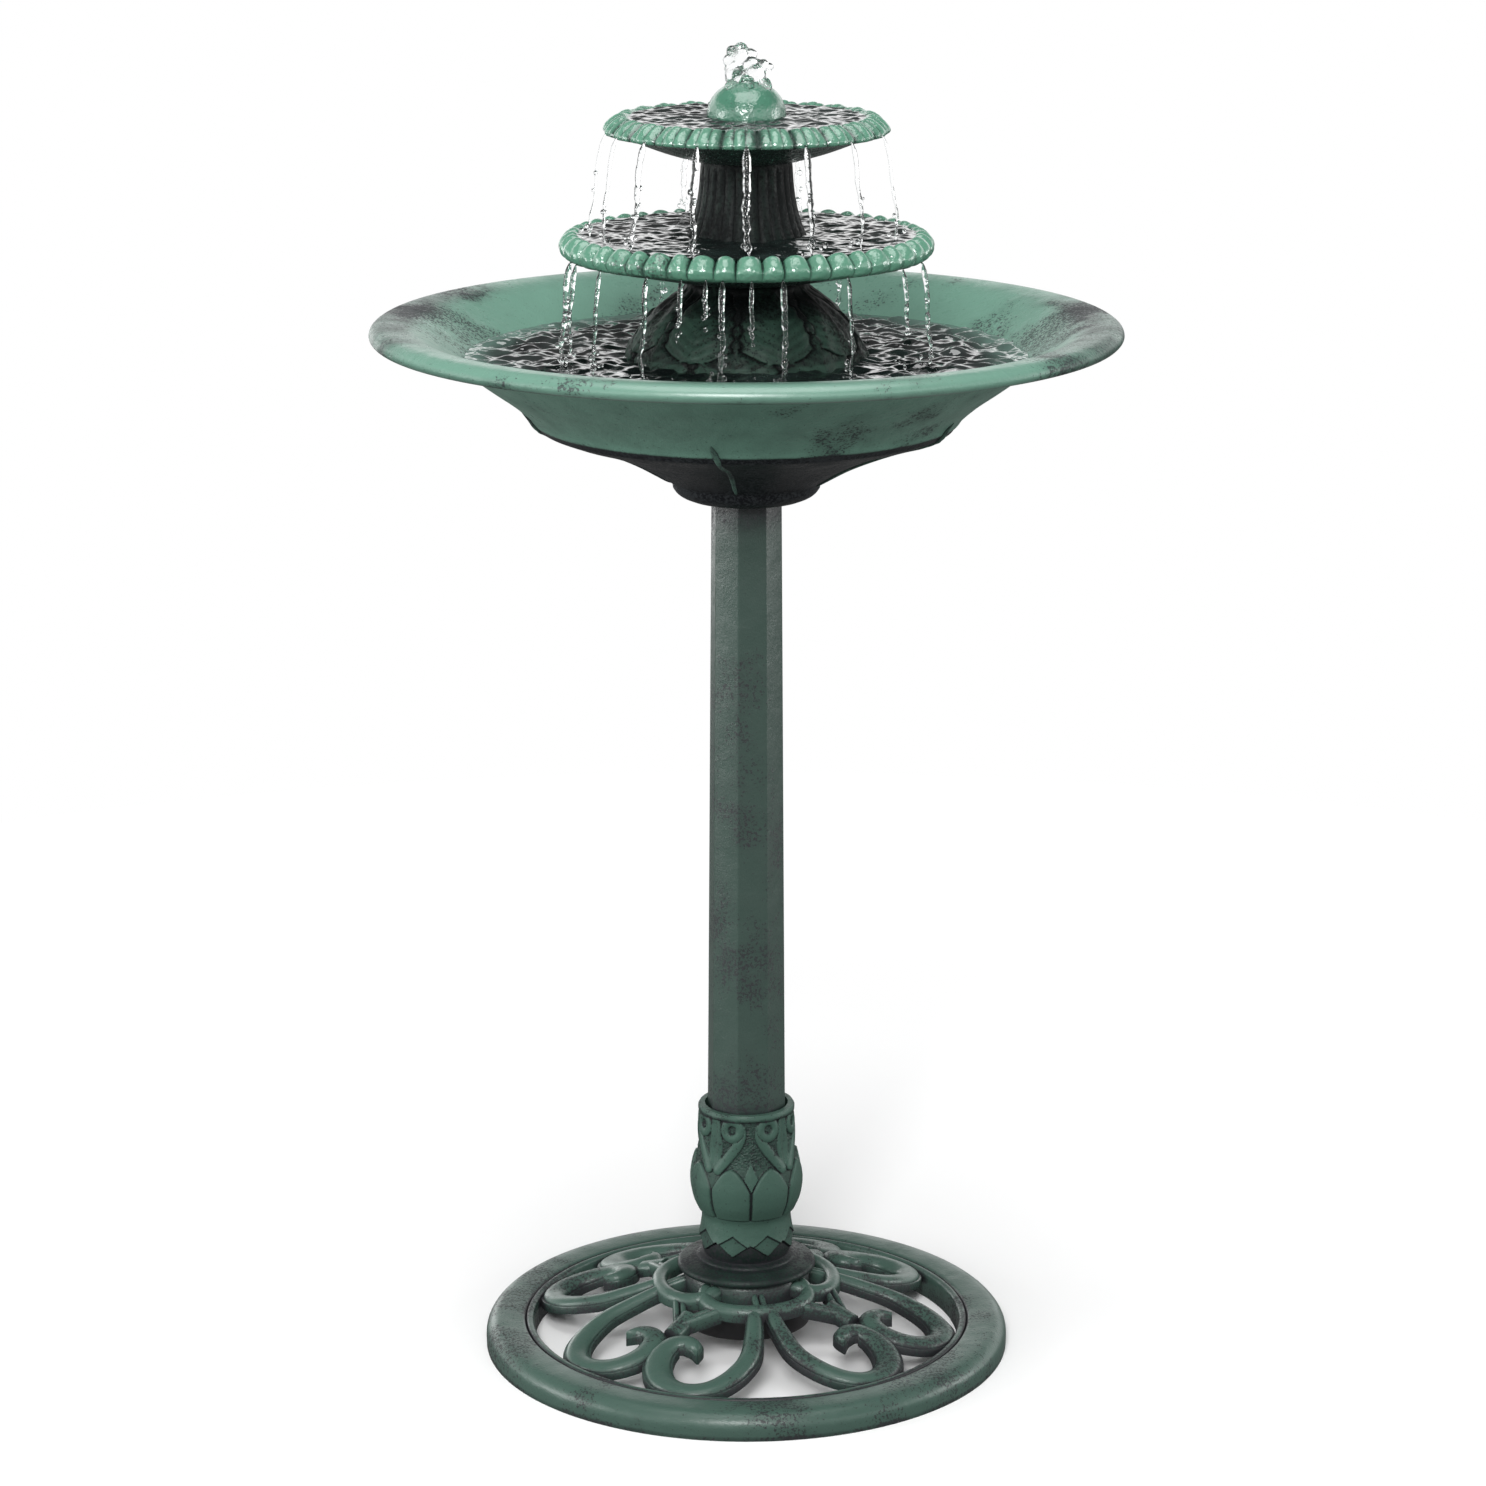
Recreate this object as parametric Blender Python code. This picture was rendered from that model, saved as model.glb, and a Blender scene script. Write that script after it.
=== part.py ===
"""Three-tier garden fountain on a pedestal: openwork foot, leaf collar, octagonal column, wide basin
with a submersible pump under a domed cover, and two scalloped dishes that the pump feeds.

Metres, +Z up. The origin is on the ground under the middle of the foot, and the front faces -Y."""

import math

import bmesh
import bpy
from mathutils import Vector

# Clearances
GAP = 0.0003  # between pieces that rest on or in each other
RUNNING_CLEARANCE = 0.00006  # all round a turning shaft
SLIDING_CLEARANCE = 0.0004  # all round the riser, which the dishes slide over
PLUG_CLEARANCE = 0.0006  # all round the plugs in the column's ends
SOCKET_CLEARANCE = 0.0005  # round the column in the collar
NECK_CLEARANCE = 0.0008  # round the column in the basin's neck

# Foot
FOOT_RADIUS = 0.204
FOOT_RIM_WIDTH = 0.038
FOOT_RIM_HEIGHT = 0.0208
FOOT_TURN = math.radians(10.5)  # of the scroll pattern, from the front towards +X
HUB_RADIUS = 0.049
HUB_TOP = 0.060
HUB_THICKNESS = 0.0195
SCROLL_DEPTH = 0.012
BOLT_RADIUS = 0.004
BOLT_CLEARANCE = 0.0003
BOLT_HEAD_RADIUS = 0.0075
BOLT_HEAD_HEIGHT = 0.0055
WASHER_RADIUS = 0.012
WASHER_THICKNESS = 0.0016
CUP_RADIUS = 0.051
CUP_HEIGHT = 0.0242
CUP_WALL = 0.003
CUP_EDGE = 0.004

# Collar and column
COLLAR_HEIGHT = 0.1355
COLLAR_FLOOR = 0.006
COLLAR_WALL = 0.003  # round the column, at its thinnest
COLLAR_FLANGE_RADIUS = 0.054
COLUMN_LENGTH = 0.634
COLUMN_FOOT_RADIUS = 0.0317  # to its corners
COLUMN_TOP_RADIUS = 0.0269
COLUMN_WALL = 0.0025
COLUMN_TURN = math.radians(10.2)  # of a corner, from +X
PLUG_LENGTH = 0.024

# Basin
BASIN_RADIUS = 0.2795
BASIN_WALL = 0.0045
BOWL_STEP_RADIUS = 0.1635  # where the cone of the bowl starts
NECK_DEPTH = 0.0315
SEAT_HEIGHT = 0.0105  # of the pump cover's seat above the basin's floor
STEM_RADIUS = 0.008
SEAL_THICKNESS = 0.0017
NUT_HEIGHT = 0.007
NUT_RADIUS = 0.017
CORD_RADIUS = 0.003
GROMMET_RADIUS = 0.0055
GROMMET_WALL = 0.0045  # between the stopper's hole and the neck's bore

# Pump
PUMP_WIDTH = 0.048
PUMP_HEIGHT = 0.041
MOTOR_LENGTH = 0.047
VOLUTE_LENGTH = 0.0187
GRILLE_LENGTH = 0.028
GRILLE_WALL = 0.002
CUP_FOOT_HEIGHT = 0.012
SHAFT_RADIUS = 0.0015
MAGNET_RADIUS = 0.0085
VANE_RADIUS = 0.0125
PUMP_RUNNING_GAP = 0.0008  # round the rotor, which is wet
KNOB_RADIUS = 0.006
KNOB_STEM_RADIUS = 0.0024
RISER_RADIUS = 0.006
RISER_BORE = 0.0045

# Dishes
COVER_RADIUS = 0.0965
INLETS = 6
INLET_WIDTH = 0.014
INLET_HEIGHT = 0.009
COVER_HEIGHT = 0.1222
COVER_WALL = 0.0035
COVER_MOUTH = 0.036
DISH_WALL = 0.004
LOBES = 24
LOBE_DEPTH = 0.004
MIDDLE_RADIUS = 0.140
TOP_RADIUS = 0.1066
SPIGOT_DEPTH = 0.010
SPIGOT_WALL = 0.003
RISER_HOLE = 0.009
STEM_HEIGHT = 0.0838  # of the fluted upper column
STEM_MOUTH = 0.030
FLUTES = 20
FLUTE_DEPTH = 0.001
FINIAL_SKIRT = 0.0245  # of the dome's edge above the skirt's foot
FINIAL_HEIGHT = 0.0285  # above the dome's edge
NOZZLE_LENGTH = 0.0109
NOZZLE_RADIUS = 0.004
NOZZLE_BORE = 0.0024

# Heights that follow from them
COLLAR_FOOT = HUB_TOP + GAP
COLUMN_FOOT = COLLAR_FOOT + COLLAR_FLOOR + GAP
COLUMN_TOP = COLUMN_FOOT + COLUMN_LENGTH
BASIN_FLOOR = COLUMN_TOP + GAP + BASIN_WALL
SEAL_FOOT = BASIN_FLOOR + GAP
NUT_FOOT = SEAL_FOOT + SEAL_THICKNESS + GAP
PUMP_FOOT = SEAL_FOOT + CUP_FOOT_HEIGHT + GAP
PUMP_AXIS = PUMP_FOOT + PUMP_HEIGHT / 2
PUMP_TOP = PUMP_FOOT + PUMP_HEIGHT
SPIGOT_TOP = PUMP_TOP + 0.0095
RISER_FOOT = PUMP_TOP - 0.001
COVER_FOOT = BASIN_FLOOR + SEAT_HEIGHT + GAP
MIDDLE_SEAT = COVER_FOOT + COVER_HEIGHT + GAP
STEM_FOOT = MIDDLE_SEAT + DISH_WALL + GAP
TOP_SEAT = STEM_FOOT + STEM_HEIGHT + GAP
FINIAL_FOOT = TOP_SEAT + DISH_WALL + GAP
FINIAL_TOP = FINIAL_FOOT + FINIAL_SKIRT + FINIAL_HEIGHT
RISER_TOP = FINIAL_TOP - NOZZLE_LENGTH - 0.001


def finish(name, colour, roughness, metallic=0.0):
    """A plain Principled finish."""
    made = bpy.data.materials.new(name)
    made.use_nodes = True
    shader = made.node_tree.nodes["Principled BSDF"]
    shader.inputs["Base Color"].default_value = (*colour, 1.0)
    shader.inputs["Roughness"].default_value = roughness
    shader.inputs["Metallic"].default_value = metallic
    made.diffuse_color = (*colour, 1.0)
    return made


def add_piece(name, bm, material, place=(0, 0, 0), turn=0.0, parent=None):
    """An object from a bmesh, with its faces turned outwards and its round sides smooth."""
    bmesh.ops.recalc_face_normals(bm, faces=bm.faces)
    mesh = bpy.data.meshes.new(name)
    bm.to_mesh(mesh)
    bm.free()
    mesh.shade_smooth()
    mesh.set_sharp_from_angle(angle=math.radians(35))
    if material:
        mesh.materials.append(material)
    piece = bpy.data.objects.new(name, mesh)
    bpy.context.scene.collection.objects.link(piece)
    piece.location = place
    piece.rotation_euler.z = turn
    piece.parent = parent
    return piece


def as_helper(piece):
    """Keeps a cutter or an arm that a Boolean joins out of the model itself."""
    piece.hide_render = True
    piece.display_type = "WIRE"
    return piece


def combine(piece, helper, operation="DIFFERENCE", solver="EXACT"):
    """Cuts the helper from the piece, or joins it on."""
    boolean = piece.modifiers.new(helper.name, "BOOLEAN")
    boolean.operation = operation
    boolean.solver = solver
    boolean.object = as_helper(helper)


def turned(outline, segments, shape=None):
    """A bmesh that spins a closed outline of (radius, height) points round Z.
    shape(radius, height, step) moves a point of one step round, for lobes and flutes."""
    bm = bmesh.new()
    rings = []
    for radius, height in outline:
        if radius == 0:
            rings.append([bm.verts.new((0, 0, height))] * segments)
            continue
        ring = []
        for step in range(segments):
            angle = math.tau * step / segments
            r, z = shape(radius, height, step) if shape else (radius, height)
            ring.append(bm.verts.new((r * math.cos(angle), r * math.sin(angle), z)))
        rings.append(ring)
    for this, following in zip(rings, rings[1:] + rings[:1]):
        for step in range(segments):
            after = (step + 1) % segments
            corners = [this[step], this[after], following[after], following[step]]
            corners = list(dict.fromkeys(corners))
            if len(corners) > 2:
                bm.faces.new(corners)
    return bm


def offset(points, distance):
    """The open line of (radius, height) points moved sideways, to its left as it runs."""
    moved = []
    for i, point in enumerate(points):
        before, after = Vector(points[max(i - 1, 0)]), Vector(points[min(i + 1, len(points) - 1)])
        along = (after - before).normalized()
        moved.append((point[0] - along.y * distance, point[1] + along.x * distance))
    return moved


def block(low, high, bevel=0.0):
    """A bmesh box between two corners, with its upright edges rounded by bevel."""
    bm = bmesh.new()
    bmesh.ops.create_cube(bm, size=1.0)
    for vert in bm.verts:
        for axis in range(3):
            vert.co[axis] = low[axis] if vert.co[axis] < 0 else high[axis]
    if bevel:
        upright = [e for e in bm.edges if abs(e.verts[0].co.z - e.verts[1].co.z) > 1e-6]
        bmesh.ops.bevel(bm, geom=upright, offset=bevel, segments=2, profile=0.5, affect="EDGES")
    return bm


def rod(radius, start, end, segments=16):
    """A bmesh cylinder from one point to another."""
    bm = bmesh.new()
    start, end = Vector(start), Vector(end)
    bmesh.ops.create_cone(bm, cap_ends=True, segments=segments, radius1=radius, radius2=radius,
                          depth=(end - start).length)
    bm.transform((end - start).to_track_quat("Z", "Y").to_matrix().to_4x4())
    bmesh.ops.translate(bm, verts=bm.verts, vec=(start + end) / 2)
    return bm


def turned_along_y(outline, segments):
    """Like turned(), about +Y, for the pump's rotor."""
    bm = turned(outline, segments)
    bm.transform(Vector((0, 1, 0)).to_track_quat("Z", "Y").to_matrix().to_4x4())
    return bm


# ---------------------------------------------------------------- the foot

def foot_crest(radius):
    """Height of the openwork's crest: the scrolls fall from the hub to the rim in a straight line."""
    share = (radius - HUB_RADIUS) / (FOOT_RADIUS - FOOT_RIM_WIDTH - HUB_RADIUS)
    return HUB_TOP - 0.002 + (FOOT_RIM_HEIGHT - 0.001 - HUB_TOP + 0.002) * min(max(share, 0.0), 1.0)


def swept(line, rise=0.0, closed=False):
    """A bmesh bar with a rounded top that follows (x, y, half width) points, rise above the crest."""
    section = [(-1, -SCROLL_DEPTH), (-1, -0.0045), (0, 0), (1, -0.0045), (1, -SCROLL_DEPTH)]
    bm = bmesh.new()
    rings = []
    for i, (x, y, half_width) in enumerate(line):
        before = line[i - 1] if closed or i else line[0]
        after = line[(i + 1) % len(line)] if closed or i + 1 < len(line) else line[-1]
        along = Vector((after[0] - before[0], after[1] - before[1])).normalized()
        crest = foot_crest(math.hypot(x, y)) + rise
        rings.append([bm.verts.new((x - along.y * side * half_width, y + along.x * side * half_width,
                                    crest + drop)) for side, drop in section])
    pairs = list(zip(rings, rings[1:] + rings[:1])) if closed else list(zip(rings, rings[1:]))
    for this, following in pairs:
        for i in range(len(section)):
            j = (i + 1) % len(section)
            bm.faces.new((this[i], this[j], following[j], following[i]))
    if not closed:
        bm.faces.new(rings[0])
        bm.faces.new(rings[-1])
    return bm


# Places in the openwork are shares of the rim's inner radius, with half widths in metres.
# One scroll, from the loop round the hub to the rim and back to its hooked head:
# (sideways, outwards, half width) from the loop's own centre line.
SCROLL = [
    (0.042, 0.422, 0.0065), (0.066, 0.572, 0.0075), (0.111, 0.687, 0.0085), (0.187, 0.783, 0.0095),
    (0.283, 0.846, 0.0100), (0.380, 0.861, 0.0108), (0.470, 0.822, 0.0112), (0.527, 0.738, 0.0114),
    (0.533, 0.639, 0.0114), (0.497, 0.554, 0.0112), (0.434, 0.509, 0.0105), (0.377, 0.524, 0.0090),
    (0.346, 0.578, 0.0060), (0.349, 0.633, 0.0025),
]
RING_LOOP = (0.253, 0.157, 0.241, 0.0062)  # centre, radial and sideways half sizes, half width
LOOP_POINTS = 16
BAR_START = (0.193, 0.355)  # on the loop's shoulder
BAR_HALF_WIDTH = 0.005
HEAD_BLOCK = (0.482, 0.602, 0.0075)  # from, to, half width, on the diagonal between two loops


def make_foot(material):
    """One openwork moulding: a rim channel, a hub, four loops and eight scrolls with their bars."""
    rim_in = FOOT_RADIUS - FOOT_RIM_WIDTH
    rim = [
        (FOOT_RADIUS, 0), (FOOT_RADIUS, 0.011), (FOOT_RADIUS - 0.003, 0.0165),
        (FOOT_RADIUS - 0.010, FOOT_RIM_HEIGHT), (rim_in + 0.0075, FOOT_RIM_HEIGHT - 0.001),
        (rim_in + 0.006, FOOT_RIM_HEIGHT - 0.0022), (rim_in + 0.0045, FOOT_RIM_HEIGHT - 0.001),
        (rim_in + 0.0015, FOOT_RIM_HEIGHT - 0.0015), (rim_in, 0.016), (rim_in + 0.001, 0),
        (rim_in + 0.006, 0), (rim_in + 0.007, 0.014), (FOOT_RADIUS - 0.010, 0.015), (FOOT_RADIUS - 0.006, 0),
    ]
    foot = add_piece("foot_openwork", turned(rim, 48), material)
    hole, hub_foot = BOLT_RADIUS + BOLT_CLEARANCE, HUB_TOP - HUB_THICKNESS
    hub = [(hole, hub_foot), (hole, HUB_TOP), (HUB_RADIUS - 0.002, HUB_TOP), (HUB_RADIUS, HUB_TOP - 0.002),
           (HUB_RADIUS, hub_foot)]
    combine(foot, add_piece("hub_arm", turned(hub, 24), None), "UNION", "MANIFOLD")

    def placed(line):
        return [(x * rim_in, y * rim_in, half) for x, y, half in line]

    centre, radial, sideways, half_width = RING_LOOP
    angles = [math.tau * i / LOOP_POINTS for i in range(LOOP_POINTS)]
    loop = placed([(sideways * math.sin(a), centre + radial * math.cos(a), half_width) for a in angles])
    scroll = placed(SCROLL)
    mirrored = [(-x, y, half) for x, y, half in reversed(scroll)]
    start, end, block_half = HEAD_BLOCK
    diagonal = math.sqrt(0.5)
    head_block = placed([(along * diagonal, along * diagonal, block_half) for along in (start, end)])
    corner = (start + end) / 2 * diagonal
    bar = placed([(*BAR_START, BAR_HALF_WIDTH), (corner, corner, BAR_HALF_WIDTH)])
    other_bar = [(y, x, half) for x, y, half in reversed(bar)]
    spoke = [(0, HUB_RADIUS - 0.006, BAR_HALF_WIDTH), (0, (centre + radial) * rim_in, BAR_HALF_WIDTH)]
    for quarter in range(4):
        # A quarter's own +Y points outwards along its loop, so the front loop is turned half round.
        turn = math.pi + FOOT_TURN + quarter * math.pi / 2
        # Bars that cross sit at different heights, the loops highest and the spokes lowest.
        arms = {"loop": swept(loop, 0.0012, closed=True), "scroll_left": swept(scroll, 0.0004),
                "scroll_right": swept(mirrored, 0.0), "head_block": swept(head_block, -0.0006),
                "bar_left": swept(bar, -0.0014), "bar_right": swept(other_bar, -0.0018),
                "spoke": swept(spoke, -0.0030)}
        for kind, bm in arms.items():
            combine(foot, add_piece(f"{kind}_arm_{quarter}", bm, None, turn=turn), "UNION", "MANIFOLD")
    return foot


def make_foot_fixings(black, steel):
    """The black cup under the hub, with the bolt that draws foot, collar and column together."""
    hole = BOLT_RADIUS + BOLT_CLEARANCE
    cup_top = HUB_TOP - HUB_THICKNESS - GAP
    inner = CUP_RADIUS - CUP_WALL
    outline = [(hole, 0), (CUP_RADIUS, 0), (CUP_RADIUS, CUP_EDGE - CUP_HEIGHT),
               (CUP_RADIUS - CUP_EDGE, -CUP_HEIGHT), (inner - CUP_EDGE, -CUP_HEIGHT),
               (inner, CUP_EDGE + 0.001 - CUP_HEIGHT), (inner, -CUP_WALL), (hole, -CUP_WALL)]
    add_piece("clamp_cup", turned(outline, 24), black, (0, 0, cup_top))
    washer_top = cup_top - CUP_WALL - GAP
    washer = [(hole, 0), (WASHER_RADIUS, 0), (WASHER_RADIUS, -WASHER_THICKNESS), (hole, -WASHER_THICKNESS)]
    add_piece("foot_washer", turned(washer, 20), steel, (0, 0, washer_top))
    head_top = washer_top - WASHER_THICKNESS - GAP
    bolt = rod(BOLT_HEAD_RADIUS, (0, 0, -BOLT_HEAD_HEIGHT), (0, 0, 0), 6)
    bolt_piece = add_piece("foot_bolt", bolt, steel, (0, 0, head_top))
    shank_end = COLUMN_FOOT + PLUG_LENGTH - 0.004
    shank = rod(BOLT_RADIUS, (0, 0, head_top - 0.002), (0, 0, shank_end))
    combine(bolt_piece, add_piece("shank_arm", shank, None), "UNION")
    plug_radius = COLUMN_FOOT_RADIUS * math.cos(math.pi / 8) - COLUMN_WALL - PLUG_CLEARANCE
    plug = [(hole, GAP), (plug_radius, GAP), (plug_radius - 0.0005, PLUG_LENGTH), (hole, PLUG_LENGTH)]
    add_piece("foot_plug", turned(plug, 24), black, (0, 0, COLUMN_FOOT))


# ---------------------------------------------------------------- collar and column

def make_collar(material):
    """The leaf collar: a hollow baluster with a flange below and a socket for the column."""
    socket = COLUMN_FOOT_RADIUS + SOCKET_CLEARANCE
    waist = socket + COLLAR_WALL
    # (outside the waist, share of the height) from the recess over the flange to the top ring
    body = [(0.0088, 0.063), (0.0010, 0.085), (0.0030, 0.133), (0.0028, 0.181), (0.0008, 0.266), (0.0, 0.336),
            (0.0028, 0.376), (0.0070, 0.450), (0.0089, 0.542), (0.0068, 0.635), (0.0041, 0.745),
            (0.0024, 0.911), (0.0022, 0.970), (0.0010, 1.0)]
    outline = [
        (BOLT_RADIUS + BOLT_CLEARANCE, 0), (COLLAR_FLANGE_RADIUS - 0.001, 0), (COLLAR_FLANGE_RADIUS, 0.003),
        (COLLAR_FLANGE_RADIUS - 0.003, 0.0068),
        *[(waist + outside, share * COLLAR_HEIGHT) for outside, share in body],
        (socket, COLLAR_HEIGHT), (socket, COLLAR_FLOOR), (BOLT_RADIUS + BOLT_CLEARANCE, COLLAR_FLOOR),
    ]
    add_piece("leaf_collar", turned(outline, 28), material, (0, 0, COLLAR_FOOT))


def make_column(material, black):
    """The octagonal column tube, a little narrower at its top, and the plug and stem that hold the basin."""
    wall = COLUMN_WALL / math.cos(math.pi / 8)
    outline = [(COLUMN_FOOT_RADIUS, 0), (COLUMN_TOP_RADIUS, COLUMN_LENGTH),
               (COLUMN_TOP_RADIUS - wall, COLUMN_LENGTH), (COLUMN_FOOT_RADIUS - wall, 0)]
    column = add_piece("column", turned(outline, 8), material, (0, 0, COLUMN_FOOT), turn=COLUMN_TURN)
    column.data.shade_flat()
    plug = COLUMN_TOP_RADIUS * math.cos(math.pi / 8) - COLUMN_WALL - PLUG_CLEARANCE
    stem_top = NUT_FOOT + NUT_HEIGHT + 0.001 - COLUMN_TOP
    outline = [(0, -PLUG_LENGTH), (plug, -PLUG_LENGTH), (plug, -GAP), (STEM_RADIUS, -GAP),
               (STEM_RADIUS, stem_top - 0.001), (STEM_RADIUS - 0.001, stem_top), (0, stem_top)]
    add_piece("top_plug", turned(outline, 24), black, (0, 0, COLUMN_TOP))


# ---------------------------------------------------------------- basin

def stopper_place():
    """How far behind the axis the stopper's hole is: just outside the neck's bore."""
    return COLUMN_TOP_RADIUS + NECK_CLEARANCE + GROMMET_WALL + GROMMET_RADIUS


def make_basin(material):
    """The wide basin: a thin shell with a rolled rim, and a thick neck that the column stands in."""
    floor_edge = 0.070
    neck_bore = COLUMN_TOP_RADIUS + NECK_CLEARANCE
    neck = [(neck_bore, -NECK_DEPTH), (0.0437, -NECK_DEPTH), (0.0522, -0.0269), (0.0550, -0.0238),
            (0.0557, -0.0194), (0.0680, -0.0115)]
    step, cone_end = BOWL_STEP_RADIUS, BASIN_RADIUS - 0.0465
    underside = [(0.0830, -0.0030), (0.1129, 0.0107), (step - 0.0189, 0.0199), (step - 0.0090, 0.0240),
                 (step - 0.0042, 0.0290), (step, 0.0348), (step + 0.19 * (cone_end - step), 0.0458),
                 (step + 0.43 * (cone_end - step), 0.0576), (cone_end, 0.0862)]
    rim = [(BASIN_RADIUS - 0.018, 0.0882), (BASIN_RADIUS - 0.008, 0.0885), (BASIN_RADIUS - 0.002, 0.0905),
           (BASIN_RADIUS, 0.0945), (BASIN_RADIUS - 0.002, 0.0993), (BASIN_RADIUS - 0.0095, 0.1020),
           (BASIN_RADIUS - 0.0250, 0.1005), (BASIN_RADIUS - 0.0365, 0.0965), (BASIN_RADIUS - 0.0450, 0.0910)]
    inside = offset(underside[1:], BASIN_WALL)[::-1]
    seat = [(COVER_RADIUS + 0.0065, SEAT_HEIGHT + 0.0015), (COVER_RADIUS + 0.005, SEAT_HEIGHT),
            (COVER_RADIUS - 0.005, SEAT_HEIGHT), (COVER_RADIUS - 0.007, SEAT_HEIGHT - 0.003), (floor_edge, 0)]
    middle = [(STEM_RADIUS + GAP, 0), (STEM_RADIUS + GAP, -BASIN_WALL), (neck_bore, -BASIN_WALL)]
    outline = neck + underside + rim + inside + seat + middle
    basin = add_piece("basin", turned(outline, 44), material, (0, 0, BASIN_FLOOR))
    hole = rod(GROMMET_RADIUS, (0, 0, -NECK_DEPTH - 0.01), (0, 0, 0.01))
    combine(basin, add_piece("cord_hole_cutter", hole, None, (0, stopper_place(), BASIN_FLOOR)))


def make_basin_fixings(rubber, black):
    """Seal and nut on the column's stem, and the stopper that the pump's cord would pass through."""
    hole = STEM_RADIUS + GAP
    seal = [(hole, 0), (NUT_RADIUS, 0), (NUT_RADIUS, SEAL_THICKNESS), (hole, SEAL_THICKNESS)]
    add_piece("basin_seal", turned(seal, 24), rubber, (0, 0, SEAL_FOOT))
    nut = [(hole, 0), (NUT_RADIUS, 0), (NUT_RADIUS, NUT_HEIGHT), (hole, NUT_HEIGHT)]
    lobed = turned(nut, 24, lambda r, z, step: (r - (0.0015 if r > hole and step % 4 > 1 else 0), z))
    add_piece("basin_nut", lobed, black, (0, 0, NUT_FOOT))
    stopper = [(CORD_RADIUS, -0.016), (GROMMET_RADIUS - GAP, -0.016), (GROMMET_RADIUS - GAP, 0),
               (GROMMET_RADIUS + 0.0022, GAP), (GROMMET_RADIUS + 0.0022, 0.0020), (CORD_RADIUS, 0.0026)]
    add_piece("cord_grommet", turned(stopper, 16), rubber, (0, stopper_place(), BASIN_FLOOR))


# ---------------------------------------------------------------- pump

VOLUTE_FRONT = -0.010
VOLUTE_BACK = VOLUTE_FRONT + VOLUTE_LENGTH
MOTOR_FRONT = VOLUTE_BACK + GAP
MOTOR_BACK = MOTOR_FRONT + MOTOR_LENGTH
GRILLE_BACK = VOLUTE_FRONT - GAP
GRILLE_FRONT = GRILLE_BACK - GRILLE_LENGTH
CHAMBER_FRONT = VOLUTE_FRONT + 0.004
KNOB_PLACE = (PUMP_WIDTH / 2 - 0.009, GRILLE_FRONT, PUMP_TOP - 0.008)
SLOTS = 6
SLOT_PITCH = 0.0066
SLOT_WIDTH = 0.003


def make_pump_housing(black):
    """Motor block, volute with its outlet, and slotted intake box: three shells on one axis along Y."""
    half = PUMP_WIDTH / 2
    motor = block((-half, MOTOR_FRONT, PUMP_FOOT), (half, MOTOR_BACK, PUMP_TOP), 0.004)
    motor = add_piece("pump_body", motor, black)
    pocket = rod(MAGNET_RADIUS + PUMP_RUNNING_GAP, (0, MOTOR_FRONT - 0.002, PUMP_AXIS),
                 (0, MOTOR_BACK - 0.006, PUMP_AXIS), 20)
    combine(motor, add_piece("rotor_pocket_cutter", pocket, None))

    volute = block((-half, VOLUTE_FRONT, PUMP_FOOT), (half, VOLUTE_BACK, PUMP_TOP))
    volute = add_piece("volute_cover", volute, black)
    outlet = rod(RISER_RADIUS + GAP + 0.0015, (0, 0, PUMP_TOP - 0.004), (0, 0, SPIGOT_TOP), 20)
    combine(volute, add_piece("outlet_arm", outlet, None), "UNION")
    chamber = rod(VANE_RADIUS + 0.003, (0, CHAMBER_FRONT, PUMP_AXIS), (0, VOLUTE_BACK + 0.002, PUMP_AXIS), 24)
    combine(volute, add_piece("chamber_cutter", chamber, None))
    eye = rod(0.006, (0, VOLUTE_FRONT - 0.002, PUMP_AXIS), (0, CHAMBER_FRONT + 0.002, PUMP_AXIS))
    combine(volute, add_piece("intake_eye_cutter", eye, None))
    passage = rod(RISER_BORE - 0.0005, (0, 0, PUMP_AXIS), (0, 0, SPIGOT_TOP + 0.002), 16)
    combine(volute, add_piece("outlet_bore_cutter", passage, None))
    socket = rod(RISER_RADIUS + GAP, (0, 0, RISER_FOOT - GAP), (0, 0, SPIGOT_TOP + 0.002), 20)
    combine(volute, add_piece("riser_socket_cutter", socket, None))

    grille = block((-half, GRILLE_FRONT, PUMP_FOOT), (half, GRILLE_BACK, PUMP_TOP))
    grille = add_piece("intake_grille", grille, black)
    hollow = block((-half + GRILLE_WALL, GRILLE_FRONT + GRILLE_WALL, PUMP_FOOT + GRILLE_WALL),
                   (half - GRILLE_WALL, GRILLE_BACK + 0.002, PUMP_TOP - GRILLE_WALL))
    combine(grille, add_piece("grille_hollow_cutter", hollow, None))
    x, y, z = KNOB_PLACE
    slot_back = GRILLE_FRONT + GRILLE_WALL + 0.002
    for slot in range(SLOTS):
        middle = (slot - (SLOTS - 1) / 2) * SLOT_PITCH
        opening = block((middle - SLOT_WIDTH / 2, GRILLE_FRONT - 0.002, PUMP_FOOT + 0.005),
                        (middle + SLOT_WIDTH / 2, slot_back, z - KNOB_RADIUS - 0.002))
        combine(grille, add_piece(f"slot_cutter_{slot}", opening, None))
    knob_hole = rod(KNOB_STEM_RADIUS + 0.0003, (x, y - 0.002, z), (x, y + GRILLE_WALL + 0.002, z), 16)
    combine(grille, add_piece("knob_hole_cutter", knob_hole, None))


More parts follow.
